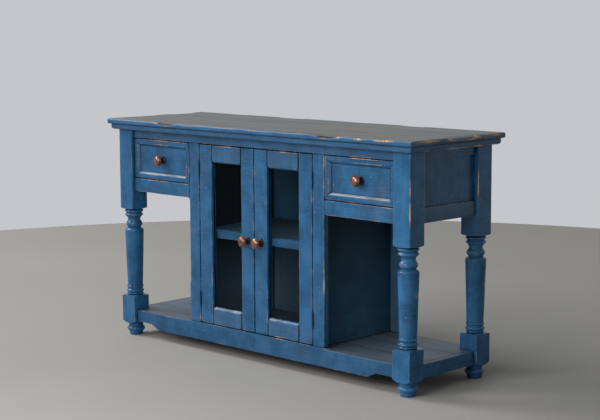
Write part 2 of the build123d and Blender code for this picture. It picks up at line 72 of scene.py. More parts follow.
class Grain(Enum):
    """The axis that a board's grain and brush strokes run along."""

    ALONG_X = 0
    ALONG_Y = 1
    ALONG_Z = 2


class Element(Enum):
    """What an edit works on: edges or faces."""

    EDGE = "edges"
    FACE = "faces"


class Cut(Enum):
    """What a cutter does: it takes its own shape away, or keeps only what lies inside it."""

    TAKE_AWAY = "DIFFERENCE"
    KEEP_INSIDE = "INTERSECT"


class TopEdge(Enum):
    """An edge of the top: the axis that it runs along, and its side of the top."""

    FRONT = (0, -1)
    BACK = (0, 1)
    LEFT = (1, -1)
    RIGHT = (1, 1)


class LampKind(Enum):
    """A round softbox near the object, or a wide soft light from far away."""

    SOFTBOX = "AREA"
    SUN = "SUN"


# Colours and nodes

RGBA = {"data_type": "RGBA"}
SMOOTH = {"interpolation_type": "SMOOTHSTEP"}
SCALED_SUM = {"operation": "MULTIPLY_ADD"}


def linear(code: str) -> tuple[float, float, float, float]:
    """Turn an sRGB hex colour into the linear colour that a shader takes.

    Args:
        code: The colour as "#RRGGBB".

    Returns:
        Linear red, green, blue and an alpha of 1.
    """
    values = [int(code[place:place + 2], 16) / 255 for place in (1, 3, 5)]
    return (*[v / 12.92 if v <= 0.04045 else ((v + 0.055) / 1.055) ** 2.4 for v in values], 1.0)


def feed(node: Node, inputs: dict[int | str, object]) -> None:
    """Set or link a node's inputs.

    Args:
        node: The node.
        inputs: Input name or number to the socket that feeds it, to a hex colour or to another constant.
    """
    for name, value in inputs.items():
        if isinstance(value, Socket):
            node.id_data.links.new(value, node.inputs[name])
        else:
            node.inputs[name].default_value = linear(value) if isinstance(value, str) else value


def add(tree: Tree, kind: str, inputs: dict[int | str, object] | None = None, out: int | str = 0,
        **settings: object) -> Socket | None:
    """Add one node with its settings, and set or link its inputs.

    Args:
        tree: The material's node tree.
        kind: The node's type name, such as "TexNoise" or "Mix".
        inputs: What feeds its inputs.
        out: Name or number of the output that is used.
        **settings: Properties of the node.

    Returns:
        The output's socket, or None where the node has no outputs.
    """
    made = tree.nodes.new("ShaderNode" + kind)
    for name, value in settings.items():
        setattr(made, name, value)
    feed(made, inputs or {})
    return made.outputs[out] if made.outputs else None


def new_material(name: str) -> tuple[Material, Tree, Node]:
    """Start a material.

    Args:
        name: The material's name.

    Returns:
        The material, its node tree and its Principled shader.
    """
    material = bpy.data.materials.new(name)
    material.use_nodes = True
    return material, material.node_tree, material.node_tree.nodes["Principled BSDF"]


def cloudy(tree: Tree, size: float, detail: float, grain: Grain = Grain.ALONG_X,
           length: float = 0.0) -> Socket:
    """A cloudy pattern on Object coordinates, drawn out along the grain where it has a length.

    Args:
        tree: The material's node tree.
        size: The pattern's real size in metres.
        detail: How many finer layers it has.
        grain: The way it is drawn out.
        length: Its real length along the grain, or 0 where that is its size.

    Returns:
        The pattern's value, from 0 to 1.
    """
    scale = [1 / size] * 3
    scale[grain.value] = 1 / (length or size)
    coords = add(tree, "TexCoord", out="Object")
    scaled = add(tree, "Mapping", {"Vector": coords, "Scale": scale})
    return add(tree, "TexNoise", {"Vector": scaled, "Scale": 1.0, "Detail": detail})


def streaky(tree: Tree, grain: Grain, size: Pair) -> Socket:
    """Streaks that run along the grain, with their real width and length in metres."""
    return cloudy(tree, size[0], 4.0, grain, size[1])


# Finishes


@dataclass(frozen=True)
class RubbedPaint:
    """Satin blue paint, brushed on pine by hand.

    To the eye: faint brush strokes, a few pale specks, dark joints, paler paint along the arrises and orange
    or cream wood where they are rubbed through. Painted shade darkens the gaps and inside corners, the legs'
    grooves, the top's front right corner and the cupboard's sides; a painted highlight pales the drawers'
    bevels, and painted light pales the cupboard's inner boards low down. The mesh says where, by what its
    points carry as "wear", "grime", "faded" and "inside".
    """

    name: str = "rubbed_blue_paint_on_pine"
    deep: str = "#224E74"
    light: str = "#346896"
    # Thin paint; where the mesh marks it, also a painted highlight on the drawers' bevels and painted light
    # on the cupboard's inner boards.
    thin: str = "#5C6C80"
    # Paint rubbed thin, and the painted highlight on the drawers' low bevels.
    rubbed_thin_and_highlight: str = "#8795AA"
    # A darker blue: painted shade on the cupboard's sides, and a darker paint on the bottom rail and the
    # inner shelf's lip.
    dark_paint_and_shade: str = "#0B1B27"
    speck: str = "#93ACC2"
    # The dark of the joints, and the colour of the painted shade in gaps, corners and grooves.
    joint: str = "#0A131C"
    wood_dark: str = "#7C4827"
    wood_mid: str = "#BC753F"
    wood_pale: str = "#E3C19D"
    # Widths and lengths. Real strokes and grit are finer than a pixel, so they are drawn
    # as coarse as they need to show.
    stroke: Pair = (4.5 * MM, 110 * MM)
    chatter: Pair = (34 * MM, 5 * MM)
    fibre: Pair = (3 * MM, 60 * MM)
    mottle: float = 70 * MM
    thinning: float = 170 * MM
    patch: float = 42 * MM
    grit: float = 7 * MM
    speck_spacing: float = 26 * MM
    shade_reach: float = 9 * MM
    # How much each pattern gives to the tone, to the thin places, to the wear and to the dark of the joints
    stroke_tone: float = 0.27
    chatter_tone: float = 0.23
    mottle_tone: float = 0.50
    stroke_thinning: float = 0.25
    cloud_thinning: float = 0.75
    patch_wear: float = 1.5
    grit_wear: float = 0.7
    grit_seam: float = 0.3
    # Roughness and relief
    gloss: float = 0.22
    satin: float = 0.16
    stroke_roughness: float = 0.16
    bare_roughness: float = 0.30
    stroke_height: float = 0.5
    bare_height: float = -0.6
    relief: float = 0.6 * MM
    relief_strength: float = 0.35
    tone_ramp: ClassVar[Ramp] = {1: 0.34, 2: 0.66}
    thin_ramp: ClassVar[Ramp] = {1: 0.54, 2: 0.74, 4: 0.35}
    rubbed_thin_ramp: ClassVar[Ramp] = {1: 1.42, 2: 1.78, 4: 0.60}
    highlight_ramp: ClassVar[Ramp] = {1: 1.0, 2: 2.0}
    bare_ramp: ClassVar[Ramp] = {1: 1.72, 2: 1.92}
    fresh_ramp: ClassVar[Ramp] = {1: 1.80, 2: 2.14}
    fibre_ramp: ClassVar[Ramp] = {1: 0.30, 2: 0.52}
    seam_and_shade_ramp: ClassVar[Ramp] = {1: 0.70, 2: 1.0, 4: 0.9}
    shade_ramp: ClassVar[Ramp] = {1: 0.80, 2: 0.36, 4: 0.94}
    speck_ramp: ClassVar[Ramp] = {1: 0.11, 2: 0.05, 4: 0.6}
    chosen_ramp: ClassVar[Ramp] = {1: 0.77, 2: 0.82}

    @cache
    def material(self, grain: Grain) -> Material:
        """The paint for boards of one grain, made once.

        Args:
            grain: The way the boards run.

        Returns:
            The material.
        """
        material, tree, shader = new_material(f"{self.name}_{grain.name.lower()}")
        wear, grit = self.worn(tree)
        painted, brush = self.colour(tree, grain, wear)
        colour, bare = self.rubbed(tree, grain, painted, wear, grit)
        self.finish(shader, colour, bare, brush, self.satin, self.gloss)
        return material

    def worn(self, tree: Tree) -> tuple[Socket, Socket]:
        """How worn the mesh says the coat is, made uneven.

        Args:
            tree: The material's node tree.

        Returns:
            The wear's socket and the socket of the fine grit in it.
        """
        grit = cloudy(tree, self.grit, 3.0)
        patches = cloudy(tree, self.patch, 2.0)
        wear = add(tree, "Attribute", out="Fac", attribute_name="wear")
        wear = add(tree, "Math", {0: patches, 1: self.patch_wear, 2: wear}, **SCALED_SUM)
        return add(tree, "Math", {0: grit, 1: self.grit_wear, 2: wear}, **SCALED_SUM), grit

    def colour(self, tree: Tree, grain: Grain, wear: Socket) -> tuple[Socket, Socket]:
        """The paint's own colour, before it is rubbed through.

        Args:
            tree: The material's node tree.
            grain: The way the brush strokes run.
            wear: How worn the coat is.

        Returns:
            The colour's socket and the brush strokes' socket.
        """
        brush = streaky(tree, grain, self.stroke)
        chatter = streaky(tree, grain, self.chatter)
        mottle = cloudy(tree, self.mottle, 3.0)
        tone = add(tree, "Math", {0: brush, 1: self.stroke_tone}, operation="MULTIPLY")
        tone = add(tree, "Math", {0: chatter, 1: self.chatter_tone, 2: tone}, **SCALED_SUM)
        tone = add(tree, "Math", {0: mottle, 1: self.mottle_tone, 2: tone}, **SCALED_SUM)
        tone = add(tree, "MapRange", {0: tone} | self.tone_ramp, **SMOOTH)
        painted = add(tree, "Mix", {0: tone, 6: self.deep, 7: self.light}, 2, **RGBA)
        # The mesh's thin paint, and its painted highlight and painted light, come in here.
        faded = add(tree, "Attribute", out="Fac", attribute_name="faded")
        cloud = cloudy(tree, self.thinning, 4.0)
        thin = add(tree, "Math", {0: brush, 1: self.stroke_thinning}, operation="MULTIPLY")
        thin = add(tree, "Math", {0: cloud, 1: self.cloud_thinning, 2: thin}, **SCALED_SUM)
        thin = add(tree, "MapRange", {0: thin} | self.thin_ramp, **SMOOTH)
        thin = add(tree, "Math", {0: thin, 1: faded}, operation="ADD")
        rubbed = add(tree, "MapRange", {0: wear} | self.rubbed_thin_ramp, **SMOOTH)
        # Painted highlight: a bevel marked beyond 1 is painted paler still.
        painted_highlight = add(tree, "MapRange", {0: faded} | self.highlight_ramp)
        rubbed = add(tree, "Math", {0: rubbed, 1: painted_highlight}, operation="MAXIMUM")
        inside = add(tree, "Attribute", out="Fac", attribute_name="inside")
        coats = ((thin, self.thin), (rubbed, self.rubbed_thin_and_highlight), (inside, self.dark_paint_and_shade),
                 (self.specks(tree), self.speck))
        for mask, coat in coats:
            painted = add(tree, "Mix", {0: mask, 6: painted, 7: coat}, 2, **RGBA)
        return painted, brush

    def specks(self, tree: Tree) -> Socket:
        """A few specks, far apart.

        Args:
            tree: The material's node tree.

        Returns:
            The specks' mask.
        """
        coords = add(tree, "TexCoord", out="Object")
        distance = add(tree, "TexVoronoi", {"Vector": coords, "Scale": 1 / self.speck_spacing}, "Distance")
        number = add(tree, "SeparateColor", {0: distance.node.outputs["Color"]})
        near = add(tree, "MapRange", {0: distance} | self.speck_ramp, **SMOOTH)
        chosen = add(tree, "MapRange", {0: number} | self.chosen_ramp, **SMOOTH)
        return add(tree, "Math", {0: near, 1: chosen}, operation="MULTIPLY")

    def rubbed(self, tree: Tree, grain: Grain, base: Socket, wear: Socket,
               grit: Socket) -> tuple[Socket, Socket]:
        """Rub a coat through to the wood where it is worn, darken its joints, and paint shade into its gaps,
        its inside corners and where the mesh marks it.

        Args:
            tree: The material's node tree.
            grain: The way the wood's grain runs.
            base: The coat's colour.
            wear: How worn the coat is.
            grit: The fine grit in the wear.

        Returns:
            The colour's socket and the bare wood's mask.
        """
        bare = add(tree, "MapRange", {0: wear} | self.bare_ramp, **SMOOTH)
        fibre = add(tree, "MapRange", {0: streaky(tree, grain, self.fibre)} | self.fibre_ramp, **SMOOTH)
        wood = add(tree, "Mix", {0: fibre, 6: self.wood_dark, 7: self.wood_mid}, 2, **RGBA)
        fresh = add(tree, "MapRange", {0: wear} | self.fresh_ramp, **SMOOTH)
        wood = add(tree, "Mix", {0: fresh, 6: wood, 7: self.wood_pale}, 2, **RGBA)
        coat = add(tree, "Mix", {0: bare, 6: base, 7: wood}, 2, **RGBA)
        # The mesh's dark joints and darker hollows, and its painted shade in the legs' grooves and at the
        # top's front right corner, darken the coat here.
        seam = add(tree, "Attribute", out="Fac", attribute_name="grime")
        seam = add(tree, "Math", {0: grit, 1: self.grit_seam, 2: seam}, **SCALED_SUM)
        seam = add(tree, "MapRange", {0: seam} | self.seam_and_shade_ramp, **SMOOTH)
        # Painted shade: the ambient occlusion darkens the coat in gaps and inside corners.
        open_to_light = add(tree, "AmbientOcclusion", {"Distance": self.shade_reach}, "AO", samples=8)
        painted_shade = add(tree, "MapRange", {0: open_to_light} | self.shade_ramp, **SMOOTH)
        dark = add(tree, "Math", {0: seam, 1: painted_shade}, operation="MAXIMUM")
        return add(tree, "Mix", {0: dark, 6: coat, 7: self.joint}, 2, **RGBA), bare

    def finish(self, shader: Node, colour: Socket, bare: Socket, strokes: Socket, satin: float,
               gloss: float) -> None:
        """Give a shader its colour, its gloss and the small relief of strokes and rubbed wood.

        Args:
            shader: The Principled shader.
            colour: The colour's socket.
            bare: The bare wood's mask.
            strokes: The brush strokes, or the wood's fibres.
            satin: The least roughness.
            gloss: The specular level.
        """
        tree = shader.id_data
        rough = add(tree, "Math", {0: strokes, 1: self.stroke_roughness, 2: satin}, **SCALED_SUM)
        rough = add(tree, "Math", {0: bare, 1: self.bare_roughness, 2: rough}, **SCALED_SUM)
        height = add(tree, "Math", {0: strokes, 1: self.stroke_height}, operation="MULTIPLY")
        height = add(tree, "Math", {0: bare, 1: self.bare_height, 2: height}, **SCALED_SUM)
        bump = add(tree, "Bump", {"Height": height, "Strength": self.relief_strength,
                                  "Distance": self.relief})
        feed(shader, {"Base Color": colour, "Roughness": rough, "Normal": bump, "Specular IOR Level": gloss})


@dataclass(frozen=True)
class WeatheredStain:
    """Pine stained grey and left to weather, with the blue paint where the mesh says it is painted.

    To the eye: long grey streaks, browner where the stain is thin, and an orange line where grey meets blue.
    """

    name: str
    dark: str
    mid: str
    pale: str
    brown: str
    paint: RubbedPaint
    gloss: float
    satin: float = 0.38
    # Widths and lengths. Streaks and fibres are drawn coarser than real ones, which are too fine to show.
    band: Pair = (42 * MM, 620 * MM)
    streak: Pair = (14 * MM, 420 * MM)
    fibre: Pair = (2.5 * MM, 120 * MM)
    brown_band: Pair = (90 * MM, 500 * MM)
    band_tone: float = 0.6
    streak_tone: float = 0.4
    tone_ramp: ClassVar[Ramp] = {1: 0.38, 2: 0.62}
    raised_ramp: ClassVar[Ramp] = {1: 0.50, 2: 0.68, 4: 0.6}
    brown_ramp: ClassVar[Ramp] = {1: 0.48, 2: 0.66, 4: 0.6}

    @cache
    def material(self, grain: Grain) -> Material:
        """The stained finish for boards of one grain, made once.

        Args:
            grain: The way the boards run.

        Returns:
            The material.
        """
        material, tree, shader = new_material(f"{self.name}_{grain.name.lower()}")
        streak = streaky(tree, grain, self.streak)
        tone = add(tree, "Math", {0: streak, 1: self.streak_tone}, operation="MULTIPLY")
        band = streaky(tree, grain, self.band)
        tone = add(tree, "Math", {0: band, 1: self.band_tone, 2: tone}, **SCALED_SUM)
        tone = add(tree, "MapRange", {0: tone} | self.tone_ramp, **SMOOTH)
        stain = add(tree, "Mix", {0: tone, 6: self.dark, 7: self.mid}, 2, **RGBA)
        fibre = streaky(tree, grain, self.fibre)
        raised = add(tree, "MapRange", {0: fibre} | self.raised_ramp, **SMOOTH)
        stain = add(tree, "Mix", {0: raised, 6: stain, 7: self.pale}, 2, **RGBA)
        thin = add(tree, "MapRange", {0: streaky(tree, grain, self.brown_band)} | self.brown_ramp, **SMOOTH)
        stain = add(tree, "Mix", {0: thin, 6: stain, 7: self.brown}, 2, **RGBA)
        wear, grit = self.paint.worn(tree)
        painted, _ = self.paint.colour(tree, grain, wear)
        covered = add(tree, "Attribute", out="Fac", attribute_name="painted")
        coat = add(tree, "Mix", {0: covered, 6: stain, 7: painted}, 2, **RGBA)
        colour, bare = self.paint.rubbed(tree, grain, coat, wear, grit)
        self.paint.finish(shader, colour, bare, fibre, self.satin, self.gloss)
        return material


@dataclass(frozen=True)
class PlanedPine:
    """Bare planed pine: pale straw wood with soft growth lines along the grain."""

    name: str = "planed_pine"
    straw: str = "#D3A772"
    line: str = "#A8713F"
    # The growth lines are a little wide and the fibres coarse, because real ones are too fine to show.
    ring: Pair = (7 * MM, 500 * MM)
    fibre: Pair = (1.5 * MM, 50 * MM)
    fibre_tone: float = 0.25
    relief: float = 0.4 * MM
    relief_strength: float = 0.2
    roughness: float = 0.62
    ring_ramp: ClassVar[Ramp] = {1: 0.50, 2: 0.66, 4: 0.7}

    @cache
    def material(self, grain: Grain) -> Material:
        """The bare wood for boards of one grain, made once.

        Args:
            grain: The way the boards run.

        Returns:
            The material.
        """
        material, tree, shader = new_material(f"{self.name}_{grain.name.lower()}")
        rings = add(tree, "MapRange", {0: streaky(tree, grain, self.ring)} | self.ring_ramp, **SMOOTH)
        fibre = streaky(tree, grain, self.fibre)
        tone = add(tree, "Math", {0: fibre, 1: self.fibre_tone, 2: rings}, **SCALED_SUM)
        colour = add(tree, "Mix", {0: tone, 6: self.straw, 7: self.line}, 2, **RGBA)
        bump = add(tree, "Bump", {"Height": fibre, "Strength": self.relief_strength, "Distance": self.relief})
        feed(shader, {"Base Color": colour, "Normal": bump, "Roughness": self.roughness})
        return material


@dataclass(frozen=True)
class AgedMetal:
    """Metal with a patina: clear metal under a darker, rougher film in soft patches, in the hollows and where
    the mesh marks it; on a knob's foot and neck that is patina and painted shade under the head.
    """

    name: str
    clear: str
    film: str
    patch: float
    polish: float
    dull: float
    metallic: float
    film_ramp: ClassVar[Ramp] = {1: 0.46, 2: 0.74}

    @cache
    def material(self) -> Material:
        """The metal, made once.

        Returns:
            The material.
        """
        material, tree, shader = new_material(self.name)
        aged = add(tree, "MapRange", {0: cloudy(tree, self.patch, 4.0)} | self.film_ramp, **SMOOTH)
        hollow = add(tree, "Attribute", out="Fac", attribute_name="grime")
        aged = add(tree, "Math", {0: aged, 1: hollow}, operation="MAXIMUM")
        colour = add(tree, "Mix", {0: aged, 6: self.clear, 7: self.film}, 2, **RGBA)
        rough = add(tree, "MapRange", {0: aged, 3: self.polish, 4: self.dull})
        feed(shader, {"Base Color": colour, "Roughness": rough, "Metallic": self.metallic})
        return material


@dataclass(frozen=True)
class SheetGlass:
    """Clear sheet glass with little glare: a little wavy, and dulled in patches by a faint film of dust."""

    name: str = "low_glare_sheet_glass"
    tint: str = "#E9F0EF"
    wave: float = 120 * MM
    wave_height: float = 1 * MM
    wave_strength: float = 0.12
    dust: float = 60 * MM
    # Plain glass has 1.5. So low a value keeps the pale studio from veiling the dark cupboard
    # behind the panes.
    ior: float = 1.08
    dust_ramp: ClassVar[Ramp] = {1: 0.45, 2: 0.75, 3: 0.0, 4: 0.04}

    @cache
    def material(self) -> Material:
        """The glass, made once.

        Returns:
            The material.
        """
        material, tree, shader = new_material(self.name)
        wavy = cloudy(tree, self.wave, 1.0)
        bump = add(tree, "Bump", {"Height": wavy, "Strength": self.wave_strength,
                                  "Distance": self.wave_height})
        rough = add(tree, "MapRange", {0: cloudy(tree, self.dust, 4.0)} | self.dust_ramp, **SMOOTH)
        feed(shader, {"Normal": bump, "Roughness": rough, "Base Color": self.tint, "Transmission Weight": 1.0,
                      "IOR": self.ior})
        return material


PAINT = RubbedPaint()
LEG_PAINT = RubbedPaint("rubbed_blue_paint_on_turned_pine", "#22527A", "#356D9C", gloss=0.23, satin=0.12)
# A flat copy of the blue paint, darker and greyer: painted shade for the cupboard's boards, which stand in
# shade.
SHADED_FLAT_PAINT = RubbedPaint("flat_blue_paint_on_pine", "#244C69", "#32607F", gloss=0.20, satin=0.50)
TOP_STAIN = WeatheredStain("weathered_grey_stain_on_pine", "#454849", "#66696B", "#838688", "#6A635C",
                           PAINT, 0.33)
SHELF_STAIN = WeatheredStain("weathered_blue_grey_stain_on_pine", "#3F4E60", "#596A7E", "#798A9C", "#606369",
                             PAINT, 0.22)
PINE = PlanedPine()
COPPER = AgedMetal("antique_copper", "#996F5D", "#1D120E", 24 * MM, 0.24, 0.38, 0.85)
IRON = AgedMetal("blackened_iron", "#31506B", "#1F3648", 9 * MM, 0.42, 0.60, 0.25)
GLASS = SheetGlass()


# Modelling steps

ARRIS_ANGLE = 0.6
SAME_WAY = 0.9999
MOSTLY_ALONG = 0.9
TOUCH = 0.1 * MM
SMOOTH_ANGLE = math.radians(32)
RUBBING_GRAIN = 16 * MM
LEAST_WEIGHT = 0.001


def select_only(*pieces: Piece) -> None:
    """Select these pieces and nothing else, the first one active.

    Args:
        *pieces: The pieces.
    """
    bpy.ops.object.select_all(action="DESELECT")
    for piece in pieces:
        piece.select_set(True)
    bpy.context.view_layer.objects.active = pieces[0]


@contextmanager
def editing(piece: Piece) -> Iterator[None]:
    """Work on one piece in edit mode.

    Args:
        piece: The piece.
    """
    select_only(piece)
    bpy.ops.object.mode_set(mode="EDIT")
    yield
    bpy.ops.object.mode_set(mode="OBJECT")


def pick(piece: Piece, element: Element, test: Callable) -> None:
    """In edit mode, select the edges or faces that pass a test, and nothing else.

    Args:
        piece: The piece being edited.
        element: What is tested and selected.
        test: Takes one bmesh edge or face and says whether it is wanted.
    """
    bpy.ops.mesh.select_mode(type=element.name)
    bpy.ops.mesh.select_all(action="DESELECT")
    mesh = bmesh.from_edit_mesh(piece.data)
    for part in getattr(mesh, element.value):
        if test(part):
            part.select_set(True)
    bmesh.update_edit_mesh(piece.data)


def start_box(low: Vector, high: Vector) -> Piece:
    """Add a cube that fills a box, with its place in its mesh.

    Args:
        low: The box's lowest corner.
        high: The box's highest corner.

    Returns:
        The new piece.
    """
    bpy.ops.object.select_all(action="DESELECT")
    bpy.ops.mesh.primitive_cube_add(size=1.0, location=(low + high) / 2)
    piece = bpy.context.object
    piece.scale = high - low
    bpy.ops.object.transform_apply(location=True, rotation=True, scale=True)
    return piece


def runs_along(edge: Edge, axis: int) -> bool:
    """Whether an edge runs along an axis."""
    run = edge.verts[1].co - edge.verts[0].co
    return abs(run[axis]) > MOSTLY_ALONG * run.length


def lying_on(*planes: tuple[int, float]) -> Callable[[Edge], bool]:
    """A test for the edges that lie on all of some planes, each given by its axis and its place."""
    return lambda edge: all(abs(vert.co[axis] - level) < TOUCH
                            for vert in edge.verts for axis, level in planes)


def cross_cuts(piece: Piece, axis: int, spacing: float) -> None:
    """Divide a piece along an axis into lengths of about the spacing.

    Args:
        piece: The piece.
        axis: The axis.
        spacing: The length.
    """
    points = coordinates(piece)[:, axis]
    count = max(1, round((points.max() - points.min()) / spacing) - 1)
    with editing(piece):
        pick(piece, Element.EDGE, lambda edge: runs_along(edge, axis))
        bpy.ops.mesh.subdivide(number_cuts=count)


def round_over(piece: Piece, test: Callable[[Edge], bool], radius: float, facets: int) -> None:
    """Round the edges that pass a test, or chamfer them with a single facet.

    Args:
        piece: The piece.
        test: Says whether an edge is wanted.
        radius: How far the rounding reaches.
        facets: How many facets it has.
    """
    with editing(piece):
        pick(piece, Element.EDGE, test)
        bpy.ops.mesh.bevel(offset=radius, segments=facets, affect="EDGES", clamp_overlap=False)


def ease(piece: Piece, width: float, band: float) -> None:
    """Ease every arris, and leave a band beside it for the wear to fade in.

    The mesh then carries "wear": 1 on the arrises and 0 on the flats.

    Args:
        piece: The piece to ease.
        width: The width of the eased arris.
        band: The width of the band on each flat.
    """
    normals = {tuple(round(value, 2) for value in face.normal): face.normal.copy()
               for face in piece.data.polygons}

    def is_flat(face: bmesh.types.BMFace) -> bool:
        """Whether a face lies the way that one of the flats did."""
        return any(face.normal.dot(normal) > SAME_WAY for normal in normals.values())

    with editing(piece):
        pick(piece, Element.EDGE,
             lambda edge: len(edge.link_faces) == 2 and edge.calc_face_angle() > ARRIS_ANGLE)
        bpy.ops.mesh.bevel(offset=width, segments=2, affect="EDGES", clamp_overlap=False)
        mesh = bmesh.from_edit_mesh(piece.data)
        layer = mesh.verts.layers.float.new("wear")
        flats = {face for face in mesh.faces if is_flat(face)}
        for vert in mesh.verts:
            vert[layer] = 0.0 if all(face in flats for face in vert.link_faces) else 1.0
        pick(piece, Element.FACE, is_flat)
        bpy.ops.mesh.inset(thickness=band, use_boundary=True, use_even_offset=True)
        mesh = bmesh.from_edit_mesh(piece.data)
        layer = mesh.verts.layers.float["wear"]
        for face in mesh.faces:
            if face.select:
                for vert in face.verts:
                    vert[layer] = 0.0
        bmesh.update_edit_mesh(piece.data)


def coordinates(piece: Piece) -> np.ndarray:
    """Read where a piece's points are.

    Args:
        piece: The piece.

    Returns:
        One row for each point.
    """
    points = np.zeros(len(piece.data.vertices) * 3, np.float32)
    piece.data.vertices.foreach_get("co", points)
    return points.reshape(-1, 3).astype(float)


def carried(piece: Piece, name: str) -> np.ndarray:
    """Read what a piece's points carry.

    Args:
        piece: The piece.
        name: The name that they carry it under.

    Returns:
        One value for each point, zero where they carry none.
    """
    values = np.zeros(len(piece.data.vertices), np.float32)
    layer = piece.data.attributes.get(name)
    if layer is not None:
        layer.data.foreach_get("value", values)
    return values.astype(float)


def carry(piece: Piece, name: str, values: np.ndarray | float) -> None:
    """Let a piece's points carry one value each, from 0 to 2.

    Args:
        piece: The piece.
        name: The name that they carry it under.
        values: Each point's value, or one for all.
    """
    layer = piece.data.attributes.get(name) or piece.data.attributes.new(name, "FLOAT", "POINT")
    spread = np.broadcast_to(np.clip(values, 0.0, 2.0), len(piece.data.vertices))
    layer.data.foreach_set("value", spread.astype(np.float32))


def rise(values: np.ndarray, over: float) -> np.ndarray:
    """How far values have risen above zero over a length, from 0 to 1."""
    return np.clip(values / over, 0.0, 1.0)


def peak(distance: np.ndarray, reach: float | np.ndarray) -> np.ndarray:
    """A smooth peak: 1 at no distance, and fading out over a reach."""
    return np.exp(-(distance / reach) ** 2)


def apply_all(piece: Piece) -> None:
    """Apply every modifier, and drop the vertex groups that they used.

    Args:
        piece: The piece.
    """
    select_only(piece)
    for modifier in list(piece.modifiers):
        bpy.ops.object.modifier_apply(modifier=modifier.name)
    piece.vertex_groups.clear()


@cache
def rub_texture() -> bpy.types.Texture:
    """The unevenness of rubbing by hand, made once.

    Returns:
        Its texture.
    """
    texture = bpy.data.textures.new("hand_rubbing", type="CLOUDS")
    texture.noise_scale = RUBBING_GRAIN
    texture.noise_depth = 2
    return texture


def displace(piece: Piece, weights: np.ndarray, strength: float, **settings: object) -> None:
    """Move a piece's points by their weights' share of a strength.

    Args:
        piece: The piece.
        weights: Each point's weight, from 0 to 1.
        strength: How far a point with the weight 1 moves.
        **settings: Other properties of the modifier.
    """
    group = piece.vertex_groups.new(name="moved")
    for number in np.flatnonzero(weights > LEAST_WEIGHT):
        group.add([int(number)], float(min(1.0, weights[number])), "REPLACE")
    move = piece.modifiers.new("move", "DISPLACE")
    move.vertex_group = group.name
    move.mid_level = 0.0
    move.strength = strength
    for name, value in settings.items():
        setattr(move, name, value)
    apply_all(piece)


def wear_down(piece: Piece, weights: np.ndarray, depth: float) -> None:
    """Rub a piece down unevenly along its arrises, by up to a depth."""
    displace(piece, weights, -depth, texture=rub_texture(), texture_coords="GLOBAL")


def lift(piece: Piece, weights: np.ndarray, height: float) -> None:
    """Move a piece's points up by their weights' share of a height, or down where it is negative."""
    displace(piece, weights, height, direction="Z")


def combine(piece: Piece, cutter: Piece, cut: Cut) -> None:
    """Cut a piece with another, and remove the cutter.

    Args:
        piece: The piece that stays.
        cutter: The piece that cuts it.
        cut: What the cutter does.
    """
    boolean = piece.modifiers.new("cut", "BOOLEAN")
    boolean.operation = cut.value
    boolean.solver = "EXACT"
    boolean.object = cutter
    apply_all(piece)
    bpy.data.objects.remove(cutter)


def join(name: str, pieces: Sequence[Piece]) -> Piece:
    """Join pieces of one node into one.

    Args:
        name: The name of the whole.
        pieces: The pieces.

    Returns:
        The whole.
    """
    select_only(*pieces)
    if len(pieces) > 1:
        bpy.ops.object.join()
    pieces[0].name = name
    pieces[0].data.name = name
    return pieces[0]


def lathe(outline: Sequence[Pair], steps: int) -> Piece:
    """Turn an outline about the Z axis.

    Args:
        outline: Radius and height of each point, starting and ending on the axis.
        steps: How many steps the turn has.

    Returns:
        The closed turned piece.
    """
    bpy.ops.object.select_all(action="DESELECT")
    bpy.ops.mesh.primitive_plane_add(size=1 * MM)
    piece = bpy.context.object
    with editing(piece):
        bpy.ops.mesh.select_mode(type="VERT")
        bpy.ops.mesh.select_all(action="SELECT")
        bpy.ops.mesh.merge(type="CENTER")
        last = (0.0, 0.0)
        for number, (radius, height) in enumerate(outline):
            move = {"value": (radius - last[0], 0.0, height - last[1])}
            if number:
                bpy.ops.mesh.extrude_region_move(TRANSFORM_OT_translate=move)
            else:
                bpy.ops.transform.translate(**move)
            last = (radius, height)
        bpy.ops.mesh.select_all(action="SELECT")
        bpy.ops.mesh.spin(steps=steps, angle=2 * math.pi, center=(0, 0, 0), axis=(0, 0, 1))
        bpy.ops.mesh.select_all(action="SELECT")
        bpy.ops.mesh.remove_doubles(threshold=0.1 * TOUCH)
        bpy.ops.mesh.normals_make_consistent(inside=False)
    return piece


def solids(node: str) -> list[Box]:
    """The boxes of a node's separate solids, from its triangles that share points.

    Args:
        node: The CAD node's name.

    Returns:
        Each solid's lowest and highest corner, in order of place.
    """
    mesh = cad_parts[node].data
    keys = [tuple(round(value, 5) for value in vert.co) for vert in mesh.vertices]
    leader = {key: key for key in keys}

    def first(key: Point) -> Point:
        """Find the key that stands for a key's solid.

        Args:
            key: The key.

        Returns:
            The key that stands for it.
        """
        while leader[key] != key:
            leader[key] = leader[leader[key]]
            key = leader[key]
        return key

    for face in mesh.polygons:
        start = first(keys[face.vertices[0]])
        for number in face.vertices[1:]:
            leader[first(keys[number])] = start
    groups: dict[Point, list[Point]] = {}
    for key in leader:
        groups.setdefault(first(key), []).append(key)
    boxes = [(Vector(np.min(group, axis=0)), Vector(np.max(group, axis=0))) for group in groups.values()]
    return sorted(boxes, key=lambda box: [round(value, 4) for value in box[0]])


def place(piece: Piece, material: Material, slot: str, body: str, *nodes: str) -> None:
    """Finish a new piece.

    Args:
        piece: The piece.
        material: Its finish.
        slot: The record's material slot; not used.
        body: The body that it rides on.
        *nodes: The nodes that it stands for.
    """
    piece.data.materials.clear()
    piece.data.materials.append(material)
    select_only(piece)
    bpy.ops.object.shade_smooth_by_angle(angle=SMOOTH_ANGLE)
    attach(piece, body)
    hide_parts(*nodes)
    LOG.info("%s rides on %s, %d faces", piece.name, body, len(piece.data.polygons))


def dress(node: str, material: Material) -> None:
    """Give a CAD node that keeps its shape its finish.

    Args:
        node: The node's name.
        material: The finish.
    """
    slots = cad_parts[node].data.materials
    slots.clear()
    slots.append(material)
    LOG.info("%s keeps its shape", node)


# Wear

